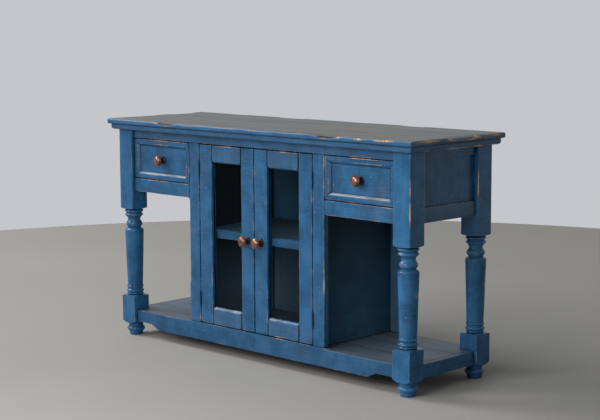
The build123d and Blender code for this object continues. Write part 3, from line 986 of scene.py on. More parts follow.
LEG_LOW, LEG_HIGH = (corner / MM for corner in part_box("leg_front_right"))
TOP_LOW, TOP_HIGH = (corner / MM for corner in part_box("top_planks"))
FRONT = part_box("front_top_rail")[0].y / MM
TOP_ARRIS = TOP_HIGH.z - 3
END_ARRIS = TOP_HIGH.z - 4
LINE_START = 0.4 * MM
LINE_WIDTH = 1.2 * MM


@dataclass(frozen=True)
class Rub:
    """A place where hands and cloths have rubbed an arris bare: its middle and its reach in millimetres."""

    middle: Point
    reach: Point
    strength: float

    def amount(self, points: np.ndarray) -> np.ndarray:
        """How much of this rub each point gets."""
        return self.strength * peak(points / MM - np.array(self.middle), np.array(self.reach)).prod(axis=1)


RUBS = (
    # Legs
    Rub((LEG_HIGH.x, LEG_LOW.y, 600), (10, 10, 125), 1.15),
    Rub((LEG_HIGH.x, -LEG_HIGH.y, 630), (10, 10, 85), 1.15),
    Rub((LEG_HIGH.x, -LEG_LOW.y, 650), (10, 10, 60), 0.90),
    Rub((-LEG_HIGH.x, LEG_LOW.y, 300), (10, 10, 50), 0.80),
    Rub((-LEG_LOW.x, LEG_LOW.y, 640), (10, 10, 40), 1.00),
    Rub((690, -150, 318), (16, 30, 16), 1.15),
    Rub((690, 183, 320), (16, 22, 30), 1.15),
    # Doors and the stiles beside them
    Rub((325, FRONT, 330), (8, 20, 65), 1.10),
    Rub((2, FRONT, 660), (8, 12, 35), 1.10),
    Rub((272, FRONT, 645), (8, 12, 20), 1.20),
    Rub((272, FRONT, 185), (6, 12, 22), 1.05),
    Rub((-137, FRONT, 730.5), (80, 10, 5), 0.95),
    Rub((137, FRONT, 730.5), (80, 10, 5), 0.95),
    Rub((105, FRONT, 104.5), (18, 12, 6), 1.30),
    Rub((140, FRONT, 104.5), (70, 12, 5), 0.80),
    # Drawers
    Rub((-476, FRONT, 731), (190, 10, 5), 1.05),
    Rub((-327, FRONT, 665), (5, 10, 80), 0.98),
    Rub((-601, FRONT, 650), (4, 10, 50), 0.85),
    Rub((-351, FRONT, 640), (4, 10, 40), 0.90),
    Rub((327, FRONT, 700), (5, 10, 45), 1.20),
    Rub((500, FRONT, 731), (120, 10, 5), 0.92),
    Rub((535, FRONT, 706), (28, 10, 8), 1.20),
    Rub((440, FRONT, 588), (30, 10, 5), 1.05),
    # Cornice and middle rail of the right end
    Rub((713, 20, 763.5), (10, 230, 3.5), 1.05),
    Rub((685, 0, 586), (6, 110, 6), 0.56),
    # Front and right edge of the top
    Rub((-395, TOP_LOW.y, TOP_ARRIS), (14, 10, 6), 1.25),
    Rub((361, TOP_LOW.y, TOP_ARRIS), (18, 10, 6), 1.25),
    Rub((428, TOP_LOW.y, TOP_ARRIS), (14, 10, 6), 1.15),
    Rub((510, TOP_LOW.y, TOP_ARRIS), (18, 10, 6), 0.95),
    Rub((615, TOP_LOW.y, TOP_ARRIS), (45, 10, 6), 1.00),
    Rub((TOP_HIGH.x, -150, END_ARRIS), (10, 90, 3), 1.12),
    Rub((TOP_HIGH.x, -42, END_ARRIS), (10, 26, 4), 1.45),
    Rub((TOP_HIGH.x, 70, END_ARRIS), (10, 42, 4), 1.45),
    Rub((TOP_HIGH.x, 165, END_ARRIS), (10, 60, 5), 1.10),
)


def rubbed(points: np.ndarray) -> np.ndarray:
    """How much the rubbed places give each point."""
    return np.max([rub.amount(points) for rub in RUBS], axis=0)


def below_line(drop: np.ndarray, start: float | np.ndarray = LINE_START) -> np.ndarray:
    """How painted a stained board is so far below its upper side: the line where grey meets blue is soft."""
    return (drop - start) / LINE_WIDTH


@dataclass
class Board:
    """One worn board, from its box, its grain and what its ends run into.

    Fields:
        box: Lowest and highest corner, tenons left off.
        grain: The axis that it runs along.
        rub: How worn its arrises are, from 0 to 1.
        joined: Whether its low and its high end meet another board.
        eased: The width of its arrises.
        spacing: The lengths that it is divided into.
        band: The width of the band where the wear fades in.
        band_share: The most that it takes of the board's thickness.
        depth: How deep the arrises are rubbed down at most.
        least: How much of that they get at least.
        joint: How many times the arris's width a joint reaches along the board.
        faded: How thin its paint is.
    """

    box: Box
    grain: Grain
    rub: float
    joined: tuple[bool, bool] = (True, True)
    eased: float = 1.3 * MM
    spacing: float = 12 * MM
    band: float = 2.2 * MM
    band_share: float = 0.3
    depth: float = 0.9 * MM
    least: float = 0.3
    joint: float = 2.5
    faded: float = 0.0

    def build(self) -> Piece:
        """Model the board and let it carry its wear.

        Returns:
            The new piece, not yet named or placed.
        """
        piece = start_box(*self.box)
        cross_cuts(piece, self.grain.value, self.spacing)
        return self.weather(piece)

    def weather(self, piece: Piece) -> Piece:
        """Ease a piece that was shaped from this board, and rub it down.

        Args:
            piece: The piece.

        Returns:
            The same piece.
        """
        low, high = self.box
        axis = self.grain.value
        ease(piece, self.eased, min(self.band, self.band_share * min(high - low)))
        points = coordinates(piece)
        arris = carried(piece, "wear")
        at_joint = np.zeros(len(points), bool)
        for joined, distance in zip(self.joined, (points[:, axis] - low[axis], high[axis] - points[:, axis])):
            at_joint |= joined & (distance < self.joint * self.eased)
        amount = np.maximum(np.where(at_joint, 0.0, self.rub), rubbed(points))
        carry(piece, "wear", arris * amount)
        carry(piece, "faded", self.faded)
        carry(piece, "grime", arris * at_joint)
        wear_down(piece, arris * np.clip(amount, self.least, 1.0), self.depth)
        return piece


def trimmed(box: Box, grain: Grain, low: float, high: float) -> Box:
    """Leave the tenons off a board's box.

    Args:
        box: The box.
        grain: The axis that the board runs along.
        low: The length of the tenon on its low end.
        high: The length of the tenon on its high end.

    Returns:
        The shorter box.
    """
    corners = box[0].copy(), box[1].copy()
    corners[0][grain.value] += low
    corners[1][grain.value] -= high
    return corners


def divided(box: Box, axis: int, count: int, gap: float) -> list[Box]:
    """Divide a box into a row of boards.

    Args:
        box: The box.
        axis: The axis that the row runs along.
        count: How many boards it has.
        gap: The gap between neighbours.

    Returns:
        The boards' boxes.
    """
    pitch = (box[1][axis] - box[0][axis]) / count
    boxes = []
    for number in range(count):
        low, high = box[0].copy(), box[1].copy()
        low[axis] = box[0][axis] + number * pitch + (gap / 2 if number else 0.0)
        high[axis] = box[0][axis] + (number + 1) * pitch - (gap / 2 if number < count - 1 else 0.0)
        boxes.append((low, high))
    return boxes


# Sub-assemblies


@dataclass(frozen=True)
class Scallop:
    """A hollow carved by hand out of the top's upper arris.

    Fields:
        edge: The edge that it is carved out of.
        middle: Where its middle is along that edge, in millimetres.
        reach: Half its length, in millimetres.
        depth: How deep it goes, in millimetres.
        widths: How far in a hollow of no depth and one of the usual depth would go.
        usual_depth: That depth, in millimetres.
        end: At how many of its widths a hollow ends.
    """

    edge: TopEdge
    middle: float
    reach: float
    depth: float
    widths: Pair = (9 * MM, 15 * MM)
    usual_depth: float = 5.0
    end: float = 1.2

    def share(self, points: np.ndarray, low: Vector, high: Vector) -> np.ndarray:
        """How deep in the hollow each point is.

        Args:
            points: The points.
            low: The top's lowest corner.
            high: The top's highest corner.

        Returns:
            From 0 outside the hollow to 1 at its lowest.
        """
        axis, side = self.edge.value
        across = 1 - axis
        edge = high[across] if side > 0 else low[across]
        shallow, usual = self.widths
        width = shallow + (usual - shallow) * self.depth / self.usual_depth
        inward = np.abs(points[:, across] - edge) / width
        along = (points[:, axis] / MM - self.middle) / self.reach
        return np.exp(-along ** 4) * rise(self.end - inward, 1.0)


@dataclass
class Top:
    """The plank top: a rounded nose all round, hollows along its edges, grey above and blue at the edge.

    Fields:
        seam: The width of the planks' arrises and of the bands beside them.
        end_reach: How much farther from the end than from a side a point of the end may be.
        edge_zone: How far in the worn edge reaches, in radii of the nose.
        rub_drop: How far down the rubbed places reach.
        line_starts: How far down the paint starts, at the ends and along the sides.
        line_drop: How far below that the worn line is.
        end_paint: How much paint the ends have.
        corner: How far the front right corner is darkened with painted shade, and how far its arris stays
            unworn.
        corner_drop: How far down the dark of the corner begins.
        carved_height: How far down a hollow fades out.
        deep: The depth from which a hollow is dark inside, in millimetres.
        rim: How deep in a hollow its worn rim is, and how wide that is, as shares of its depth.
        rim_drop: How far down the rim is worn.
        rim_wear: How worn the rim of a deep and of a shallow hollow is.
        dark: How deep in a deep hollow the dark begins, and over what share it deepens.
        dark_drop: How far down it is dark.
        kept_wear: How deep in a deep hollow the wear is less, and what share of it is left.
    """

    nose: float = 6 * MM
    facets: int = 6
    spacing: float = 7.5 * MM
    seam: Pair = (0.8 * MM, 3 * MM)
    end_reach: float = 1 * MM
    edge_zone: float = 1.2
    rub_drop: float = 6 * MM
    line_starts: Pair = (3.5 * MM, 0.6 * MM)
    line_drop: float = 0.9 * MM
    line_wear: float = 0.46
    line_depth: float = 1 * MM
    end_paint: float = 0.72
    corner: Pair = (6 * MM, 9 * MM)
    corner_dark: float = 0.95
    corner_drop: float = 1.5 * MM
    carved_height: float = 16 * MM
    deep: float = 4.0
    rim: Pair = (0.22, 0.12)
    rim_drop: float = 5 * MM
    rim_wear: Pair = (0.92, 0.6)
    dark: Pair = (0.30, 0.25)
    dark_drop: float = 3.2 * MM
    kept_wear: Pair = (0.4, 0.6)
    hollows: tuple[Scallop, ...] = (
        Scallop(TopEdge.FRONT, -402, 46, 8.5), Scallop(TopEdge.FRONT, -285, 30, 2.2),
        Scallop(TopEdge.FRONT, -120, 50, 1.6), Scallop(TopEdge.FRONT, 60, 45, 2.0),
        Scallop(TopEdge.FRONT, 200, 40, 1.4), Scallop(TopEdge.FRONT, 371, 47, 9.0),
        Scallop(TopEdge.FRONT, 515, 34, 2.6), Scallop(TopEdge.FRONT, 600, 26, 1.8),
        Scallop(TopEdge.RIGHT, -140, 40, 1.8), Scallop(TopEdge.RIGHT, 14, 60, 9.0),
        Scallop(TopEdge.RIGHT, 140, 40, 2.0),
        Scallop(TopEdge.LEFT, -50, 45, 2.0), Scallop(TopEdge.LEFT, 125, 50, 7.5),
        Scallop(TopEdge.BACK, -510, 35, 2.5), Scallop(TopEdge.BACK, -230, 50, 7.0),
        Scallop(TopEdge.BACK, 100, 40, 2.0), Scallop(TopEdge.BACK, 350, 40, 8.0),
    )

    def build(self) -> None:
        """Model the planks and lay them on the cornice."""
        low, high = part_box("top_planks")
        planks = [self.plank(box, low, high) for box in sorted(solids("top_planks"), key=lambda b: b[0].y)]
        top = join("plank_top", planks)
        place(top, TOP_STAIN.material(Grain.ALONG_X), "top_pine", "carcass", "top_planks")

    def plank(self, box: Box, low: Vector, high: Vector) -> Piece:
        """Model one plank.

        Args:
            box: The plank's own box.
            low: The whole top's lowest corner.
            high: The whole top's highest corner.

        Returns:
            The plank.
        """
        piece = start_box(*box)
        for axis in (0, 1):
            cross_cuts(piece, axis, self.spacing)

        def outside(edge: Edge) -> bool:
            """Say whether an edge lies along the outside of the whole top.

            Args:
                edge: The edge.

            Returns:
                Whether it does.
            """
            if edge.calc_face_angle() < ARRIS_ANGLE:
                return False
            middle = (edge.verts[0].co + edge.verts[1].co) / 2
            margins = [min(middle[a] - low[a], high[a] - middle[a]) for a in (0, 1)]
            return min(margins) < 0.1 * TOUCH and not (max(margins) > 10 * TOUCH and runs_along(edge, 2))

        round_over(piece, outside, self.nose, self.facets)
        ease(piece, *self.seam)
        self.weather(piece, low, high)
        return piece

    def weather(self, piece: Piece, low: Vector, high: Vector) -> None:
        """Carve the hollows and let a plank carry its wear and its painted edge.

        Args:
            piece: The plank.
            low: The whole top's lowest corner.
            high: The whole top's highest corner.
        """
        points = coordinates(piece)
        seam = carried(piece, "wear")
        drop = high.z - points[:, 2]
        to_end = np.minimum(points[:, 0] - low.x, high.x - points[:, 0])
        margin = np.minimum.reduce([to_end, points[:, 1] - low.y, high.y - points[:, 1]])
        at_end = to_end <= margin + self.end_reach
        nose = margin < self.edge_zone * self.nose
        start = np.where(at_end, *self.line_starts)
        painted = np.clip(below_line(drop, start), 0.0, 1.0) * np.where(at_end, self.end_paint, 1.0)
        line = peak(drop - start - self.line_drop, LINE_WIDTH) * nose
        wear = np.maximum(self.line_wear * line, rubbed(points) * (nose & (drop < self.rub_drop)))
        corner = np.hypot(points[:, 0] - high.x, points[:, 1] - low.y)
        wear *= 1 - peak(corner, self.corner[1])
        # Painted shade: the nose darkens at the front right corner, where the lit front turns to the shaded
        # end.
        dark = self.corner_dark * peak(corner, self.corner[0]) * (drop > self.corner_drop)
        upper = drop < self.dark_drop
        carved = np.zeros(len(points))
        for hollow in self.hollows:
            share = hollow.share(points, low, high)
            carved = np.maximum(carved, share * hollow.depth)
            is_deep = hollow.depth > self.deep
            rim = peak(share - self.rim[0], self.rim[1]) * (drop < self.rim_drop) * nose
            wear = np.maximum(wear, self.rim_wear[0 if is_deep else 1] * rim)
            if is_deep:
                dark = np.maximum(dark, rise(share - self.dark[0], self.dark[1]) * upper)
                wear *= np.where((share > self.kept_wear[0]) & upper, self.kept_wear[1], 1.0)
        carved *= rise(self.carved_height - drop, self.carved_height)
        carry(piece, "grime", np.maximum(seam * (margin > 2 * self.nose), dark))
        carry(piece, "wear", wear)
        carry(piece, "painted", painted)
        deepest = max(hollow.depth for hollow in self.hollows)
        lift(piece, carved / deepest, -deepest * MM)
        wear_down(piece, line, self.line_depth)


@dataclass
class MitredFrame:
    """Four moulded strips round a rectangle, cut at 45 degrees where they meet.

    Fields:
        axes: The two axes of the frame's plane.
        low: The frame's lowest corner.
        high: The frame's highest corner.
        width: The strips' width.
        moulding: How far the moulded edge reaches.
        facets: How many facets it has: one makes a chamfer.
        inner: Whether it is the strips' inner edge, or else the outer one.
        rub: How worn the arrises are.
        eased: The width of the arrises.
        worn_moulding: Whether the rubbed places also reach the moulded edge.
        faded: How thin the paint is.
        gap: The open line at each mitre.
        spacing: The lengths that the strips are divided into.
        band: The width of the band where the wear fades in.
        mitre_reach: How far from a mitre the arrises stay unworn.
        depth: How deep the arrises are rubbed down.
    """

    axes: tuple[int, int]
    low: Vector
    high: Vector
    width: float
    moulding: float
    facets: int
    inner: bool
    rub: float
    eased: float
    worn_moulding: bool = False
    faded: float = 0.0
    gap: float = 0.2 * MM
    spacing: float = 12 * MM
    band: float = 1.4 * MM
    mitre_reach: float = 3 * MM
    depth: float = 0.42 * MM

    def strip(self, number: int, rub: float | None = None) -> Piece:
        """Model one strip.

        Args:
            number: 0 and 1 for the low and high strip along the first axis, 2 and 3 along the second.
            rub: How worn its arrises are, where that isn't the frame's.

        Returns:
            The strip.
        """
        along, across = self.axes if number < 2 else self.axes[::-1]
        outward = 1 if number % 2 else -1
        low, high = self.low.copy(), self.high.copy()
        if outward < 0:
            high[across] = low[across] + self.width
        else:
            low[across] = high[across] - self.width
        outer = low[across] if outward < 0 else high[across]
        piece = start_box(low, high)
        self.mitre(piece, along, across, outward)
        self.mould(piece, across, outward)
        cross_cuts(piece, along, self.spacing)
        ease(piece, self.eased, self.band)
        points = coordinates(piece)
        arris = carried(piece, "wear")
        reach = np.minimum(points[:, along] - self.low[along], self.high[along] - points[:, along])
        at_mitre = (reach - np.abs(points[:, across] - outer)) < self.mitre_reach
        rubs = rubbed(points)
        wear = arris * np.maximum(np.where(at_mitre, 0.0, self.rub if rub is None else rub), rubs)
        carry(piece, "wear", np.maximum(wear, rubs * self.worn_moulding))
        carry(piece, "faded", self.faded)
        wear_down(piece, arris, self.depth)
        return piece

    def mitre(self, piece: Piece, along: int, across: int, outward: int) -> None:
        """Cut a strip's ends at 45 degrees.

        Args:
            piece: The strip.
            along: The axis that it runs along.
            across: The axis across it.
            outward: Which way its outer side faces, -1 or 1.
        """
        with editing(piece):
            for end in (-1, 1):
                corner, normal = Vector((0, 0, 0)), Vector((0, 0, 0))
                corner[across] = self.low[across] if outward < 0 else self.high[across]
                corner[along] = (self.low[along] + self.gap) if end < 0 else (self.high[along] - self.gap)
                normal[along] = end
                normal[across] = -outward
                bpy.ops.mesh.select_all(action="SELECT")
                bpy.ops.mesh.bisect(plane_co=corner, plane_no=normal, clear_outer=True, use_fill=True)

    def mould(self, piece: Piece, across: int, outward: int) -> None:
        """Mould a strip along its inner or outer edge, on the low side of the frame's plane.

        Args:
            piece: The strip.
            across: The axis across it.
            outward: Which way its outer side faces, -1 or 1.
        """
        points = coordinates(piece)
        face = 3 - sum(self.axes)
        is_high = (outward > 0) != self.inner
        level = points[:, across].max() if is_high else points[:, across].min()
        moulded = lying_on((across, level), (face, points[:, face].min()))
        round_over(piece, moulded, self.moulding, self.facets)


@dataclass
class Cornice:
    """The mitred frame under the top, rounded along its lower outer edge."""

    rounding: float = 8 * MM
    facets: int = 4
    rub: float = 0.62
    eased: float = 1.4 * MM
    faded: float = 0.15

    def build(self) -> None:
        """Model the four strips between the legs and the top."""
        names = ("front", "back", "left", "right")
        boxes = {name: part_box(f"cornice_{name}") for name in names}
        low, high = boxes["front"][0].copy(), boxes["front"][1].copy()
        width = high.y - low.y
        low.x, high.x = boxes["left"][0].x, boxes["right"][1].x
        high.y = boxes["back"][1].y
        strips = MitredFrame((0, 1), low, high, width, self.rounding, self.facets, inner=False, rub=self.rub,
                             eased=self.eased, worn_moulding=True, faded=self.faded)
        for number, name in enumerate(names):
            piece = join(f"{name}_cornice", [strips.strip(number)])
            grain = Grain.ALONG_X if number < 2 else Grain.ALONG_Y
            place(piece, PAINT.material(grain), "painted_pine", "carcass", f"cornice_{name}")


@dataclass(frozen=True)
class Turn:
    """One cut on the lathe: up to a height, ending at a radius, swelling or hollowed on the way.

    Fields:
        radius: The radius at its upper end, in millimetres.
        top: The height of its upper end, in millimetres.
        belly: The radius halfway, where it isn't straight, in millimetres.
    """

    radius: float
    top: float
    belly: float | None = None


@dataclass
class Legs:
    """Four legs turned from square stock: a spun outline, cut down to the square where the blocks are.

    Fields:
        square: The stock's width.
        arris, band: The width of the blocks' arrises, and of the band where their wear fades in.
        curve_steps: How many steps a swelling or a hollow has.
        step: The length of a straight step.
        spacing: The lengths that the blocks are divided into.
        block_reach: How near the stock's side a point is on a block, in arrises.
        full_wear: How far from the corner the wear is full, in arrises.
        wear_fade: Over what length it then fades out.
        depth: How deep the arrises are rubbed down.
        turns: The cuts, from the floor up.
    """

    square: float = 70 * MM
    arris: float = 2 * MM
    band: float = 4 * MM
    spin_steps: int = 60
    curve_steps: int = 8
    step: float = 9 * MM
    spacing: float = 13 * MM
    block_reach: float = 0.8
    full_wear: float = 0.3
    wear_fade: float = 3.2 * MM
    depth: float = 0.9 * MM
    block_rub: float = 0.5
    crest_rub: float = 0.27
    # Painted shade in the grooves between the turned rings.
    groove_dark: float = 0.75
    foot_radius: float = 23.5 * MM
    turns: tuple[Turn, ...] = (
        Turn(26.0, 13), Turn(26.0, 33, 33.0), Turn(26.0, 41), Turn(52.5, 57, 42.0), Turn(52.5, 146),
        Turn(27.5, 151), Turn(27.5, 159, 30.0), Turn(27.5, 171, 32.0), Turn(27.5, 175), Turn(28.0, 185, 30.5),
        Turn(34.3, 390), Turn(31.5, 395.5, 33.9), Turn(24.5, 400), Turn(24.5, 402.5), Turn(24.5, 424.5, 30.0),
        Turn(28.5, 441.5, 23.0), Turn(28.5, 453.5, 33.0), Turn(28.5, 456), Turn(28.5, 468, 34.0),
        Turn(52.5, 473), Turn(52.5, 762),
    )

    def outline(self) -> np.ndarray:
        """Work the turned outline out.

        Returns:
            Rows of radius, height, how worn the crest is and how dark the groove is.
        """
        rows = [(0.0, 0.0, 0.0, 0.0), (self.foot_radius, 0.0, 0.2, 0.0)]
        for turn in self.turns:
            start_radius, start = rows[-1][:2]
            end_radius, end = turn.radius * MM, turn.top * MM
            steps = self.curve_steps if turn.belly else max(1, round((end - start) / self.step))
            swell = turn.belly * MM - (start_radius + end_radius) / 2 if turn.belly else 0.0
            for share in np.linspace(0, 1, steps + 1)[1:]:
                arch = 4 * share * (1 - share)
                radius = start_radius + (end_radius - start_radius) * share + swell * arch
                in_groove = swell > 0 and share == 1 and end_radius < self.square / 2
                height = start + (end - start) * share
                rows.append((radius, height, arch * (swell > 0), self.groove_dark * in_groove))
        rows.append((0.0, rows[-1][1], 0.0, 0.0))
        return np.array(rows)

    def model(self) -> Piece:
        """Model one leg about the origin.

        Returns:
            The leg, not yet at its place.
        """
        rows = self.outline()
        turned = lathe([(row[0], row[1]) for row in rows], self.spin_steps)
        half, past = self.square / 2, 20 * MM
        stock = start_box(Vector((-half, -half, -past)), Vector((half, half, rows[-1][1] + past)))
        cross_cuts(stock, 2, self.spacing)
        ease(stock, self.arris, self.band)
        combine(turned, stock, Cut.KEEP_INSIDE)
        return turned

    def build(self) -> None:
        """Model a leg once, and stand a copy at each corner."""
        model = self.model()
        for node in LEGS:
            low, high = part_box(node)
            leg = bpy.data.objects.new(node.removeprefix("leg_") + "_leg", model.data.copy())
            bpy.context.scene.collection.objects.link(leg)
            self.weather(leg, (low + high) / 2)
            place(leg, LEG_PAINT.material(Grain.ALONG_Z), "painted_pine", "carcass", node)
        bpy.data.objects.remove(model)

    def weather(self, leg: Piece, middle: Vector) -> None:
        """Stand a leg at its place and let it carry its wear.

        Args:
            leg: The leg, about the origin.
            middle: The middle of its place.
        """
        heights, crests, grooves = self.outline()[1:-1, 1:].T
        points = coordinates(leg)
        inward = self.square / 2 - np.abs(points[:, :2])
        on_block = inward.min(axis=1) < self.block_reach * self.arris
        from_full = inward.max(axis=1) - self.full_wear * self.arris
        arris = rise(self.wear_fade - from_full, self.wear_fade) * on_block
        crest = np.interp(points[:, 2], heights, crests) * ~on_block
        groove = np.interp(points[:, 2], heights, grooves) * ~on_block
        leg.data.transform(Matrix.Translation((middle.x, middle.y, 0.0)))
        rubs = rubbed(coordinates(leg))
        turned_wear = ~on_block * np.maximum(rubs, self.crest_rub * crest)
        carry(leg, "wear", np.maximum(arris * np.maximum(rubs, self.block_rub), turned_wear))
        # Painted shade: the grooves between the rings are darkened.
        carry(leg, "grime", groove)
        wear_down(leg, arris, self.depth)


@dataclass(frozen=True)
class Member:
    """A framing board on the carcass. A stained one is painted below its upper side.

    Fields:
        node: Its node.
        grain: The axis that it runs along.
        low_tenon: The length of the tenon on its low end.
        high_tenon: The length of the tenon on its high end.
        rub: How worn its arrises are.
        finish: Its finish.
        faded: How thin its paint is.
        inside: How much darker its paint is.
    """

    node: str
    grain: Grain
    low_tenon: float = TENON
    high_tenon: float = TENON
    rub: float = 0.5
    finish: RubbedPaint | WeatheredStain = PAINT
    faded: float = 0.0
    inside: float = 0.0

    def boards(self) -> list[Board]:
        """The boards of the node's solids, tenons left off."""
        joined = (self.low_tenon > 0, self.high_tenon > 0)
        return [Board(trimmed(box, self.grain, self.low_tenon, self.high_tenon), self.grain, self.rub, joined,
                      faded=self.faded) for box in solids(self.node)]

    def build(self) -> None:
        """Model the boards as one piece."""
        piece = join(f"{self.node}_board", [board.build() for board in self.boards()])
        heights = coordinates(piece)[:, 2]
        carry(piece, "inside", self.inside)
        carry(piece, "painted", below_line(heights.max() - heights))
        place(piece, self.finish.material(self.grain), "painted_pine", "carcass", self.node)


@dataclass
class Frame:
    """The rails, stiles and aprons between the legs.

    Fields:
        stile_tenon: The length of the stiles' tenons.
        ogee_start: Where the bottom rail's lower edge begins to rise, from the middle.
        ogee_end: Where it stops rising.
        ogee_rise: How far it rises.
        ogee_spacing: The lengths that the bottom rail is divided into.
        stile_edge: The outer edge of the stiles, from the middle.
        step: How far from there the bottom rail's upper edge takes to be worn down.
        stepped_on: How far it is worn down beside the open shelves.
        rail_undercoat: How much darker the bottom rail's paint is.
    """

    stile_tenon: float = 16 * MM
    ogee_start: float = 505 * MM
    ogee_end: float = 551 * MM
    ogee_rise: float = 17 * MM
    ogee_spacing: float = 6 * MM
    stile_edge: float = 326 * MM
    step: float = 18 * MM
    stepped_on: float = 4.5 * MM
    rail_undercoat: float = 0.20

    def build(self) -> None:
        """Model every framing board, and finish the end panels."""
        members = [Member("front_top_rail", Grain.ALONG_X, rub=0.38, faded=0.12),
                   Member("back_bottom_rail", Grain.ALONG_X, rub=0.55, finish=SHELF_STAIN)]
        for side, tenons in zip(SIDES, ((TENON, 0.0), (0.0, TENON))):
            members += [
                Member(f"front_stile_{side}", Grain.ALONG_Z, self.stile_tenon, self.stile_tenon, 0.46),
                Member(f"drawer_rail_{side}", Grain.ALONG_X, rub=0.60),
                Member(f"back_apron_{side}", Grain.ALONG_X, *tenons, rub=0.55),
            ]
        members += [
            Member("end_top_rails", Grain.ALONG_Y, rub=0.60),
            Member("end_middle_rails", Grain.ALONG_Y, rub=0.45, faded=0.35),
            Member("end_low_rails", Grain.ALONG_Y, rub=0.28, finish=SHELF_STAIN),
        ]
        for member in members:
            member.build()
        self.bottom_rail()
        for side in SIDES:
            dress(f"end_panel_{side}", PAINT.material(Grain.ALONG_Z))

    def bottom_rail(self) -> None:
        """Model the shaped rail along the bottom of the front, worn down where the shelf is open."""
        member = Member("front_bottom_rail", Grain.ALONG_X, rub=0.40)
        board = member.boards()[0]
        low, high = board.box
        piece = start_box(low, high)
        cross_cuts(piece, 0, self.ogee_spacing)
        points = coordinates(piece)
        upper = points[:, 2] > (low.z + high.z) / 2
        share = rise(np.abs(points[:, 0]) - self.ogee_start, self.ogee_end - self.ogee_start)
        lift(piece, share ** 2 * (3 - 2 * share) * ~upper, self.ogee_rise)
        lift(piece, self.open_share(points) * upper, -self.stepped_on)
        board.weather(piece)
        points = coordinates(piece)
        shelf = self.open_share(points)
        drop = high.z - self.stepped_on * shelf - points[:, 2]
        carry(piece, "painted", np.maximum(shelf < 0.01, below_line(drop)))
        carry(piece, "inside", self.rail_undercoat)
        piece = join(f"{member.node}_board", [piece])
        place(piece, SHELF_STAIN.material(member.grain), "painted_pine", "carcass", member.node)

    def open_share(self, points: np.ndarray) -> np.ndarray:
        """How far each point is from the cupboard into the open shelf, from 0 to 1."""
        return rise(np.abs(points[:, 0]) - self.stile_edge, self.step)


@dataclass
class Cupboard:
    """The cupboard between the stiles: upright boards, the shelf inside and its lip.

    Fields:
        outer_heights: Two heights on the sides' outer faces.
        outer_painted_shade: How much painted shade darkens them at these, most towards the top.
        inner_heights: Two heights inside.
        inner_painted_shade: How much painted shade darkens the sides inside at these, most towards the top.
        inner_faded: How much paler the inner boards are painted at these, most towards the bottom: painted
            light.
    """

    side_boards: int = 1
    back_boards: int = 7
    board_gap: float = 0.2 * MM
    board_rub: float = 0.30
    spacing: float = 16 * MM
    eased: float = 0.6 * MM
    inner_width: float = 570 * MM
    outer_heights: Pair = (150 * MM, 500 * MM)
    outer_painted_shade: Pair = (0.0, 0.90)
    inner_heights: Pair = (200 * MM, 440 * MM)
    inner_painted_shade: Pair = (0.0, 1.0)
    inner_faded: Pair = (0.9, 0.0)

    def build(self) -> None:
        """Model the boards, and finish what keeps its CAD shape."""
        for side in SIDES:
            self.panel(f"cupboard_side_{side}", 1, self.side_boards)
        self.panel("cupboard_back", 0, self.back_boards)
        Member("inner_shelf_lip", Grain.ALONG_X, 0.0, 0.0, 0.35, inside=0.14).build()
        Member("inner_shelf", Grain.ALONG_X, 0.0, 0.0, 0.1, SHADED_FLAT_PAINT, faded=0.4).build()
        dress("inner_shelf_cleats", SHADED_FLAT_PAINT.material(Grain.ALONG_Y))
        dress("door_stop", SHADED_FLAT_PAINT.material(Grain.ALONG_X))

    def panel(self, node: str, axis: int, count: int) -> None:
        """Model a panel of upright boards.

        Args:
            node: The panel's node.
            axis: The axis that the row of boards runs along: 1 for a side, 0 for the back.
            count: How many boards it has.
        """
        low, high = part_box(node)
        boxes = divided((low, high), axis, count, self.board_gap)
        boards = [Board(box, Grain.ALONG_Z, self.board_rub, spacing=self.spacing, eased=self.eased)
                  for box in boxes]
        panel = join(f"{node}_boards", [board.build() for board in boards])
        x, y, z = coordinates(panel).T
        is_side = axis == 1
        middle = (low + high) / 2
        if is_side:
            inner = np.abs(x) < abs(middle.x)
        else:
            inner = (y < middle.y) & (np.abs(x) < self.inner_width / 2)
        # Painted shade: the sides darken towards the top, inside the cupboard and on their faces towards the
        # open shelves.
        inside = np.interp(z, self.inner_heights, self.inner_painted_shade)
        outside = np.interp(z, self.outer_heights, self.outer_painted_shade)
        carry(panel, "inside", np.where(inner, inside, outside) * is_side)
        # Painted light: the boards inside are painted paler towards the bottom.
        carry(panel, "faded", np.interp(z, self.inner_heights, self.inner_faded) * inner)
        place(panel, SHADED_FLAT_PAINT.material(Grain.ALONG_Z), "painted_pine", "carcass", node)


@dataclass
class LowShelf:
    """The low shelf: planks notched round the legs, on bearers."""

    rub: float = 0.25
    notch_clearance: float = 0.15 * MM

    def build(self) -> None:
        """Model the planks, and finish the bearers."""
        planks = [self.notched(Board(box, Grain.ALONG_X, self.rub).build()) for box in solids("shelf_planks")]
        shelf = join("shelf_boards", planks)
        place(shelf, SHELF_STAIN.material(Grain.ALONG_X), "shelf_pine", "carcass", "shelf_planks")
        dress("shelf_bearers", PINE.material(Grain.ALONG_X))

    def notched(self, plank: Piece) -> Piece:
        """Cut a plank round the legs that it meets.

        Args:
            plank: The plank.

        Returns:
            The same plank.
        """
        near, far = coordinates(plank)[:, 1].min(), coordinates(plank)[:, 1].max()
        room = Vector((self.notch_clearance, self.notch_clearance, 0.0))
        for node in LEGS:
            low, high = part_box(node)
            if near < high.y and far > low.y:
                combine(plank, start_box(low - room, high + room), Cut.TAKE_AWAY)
        return plank


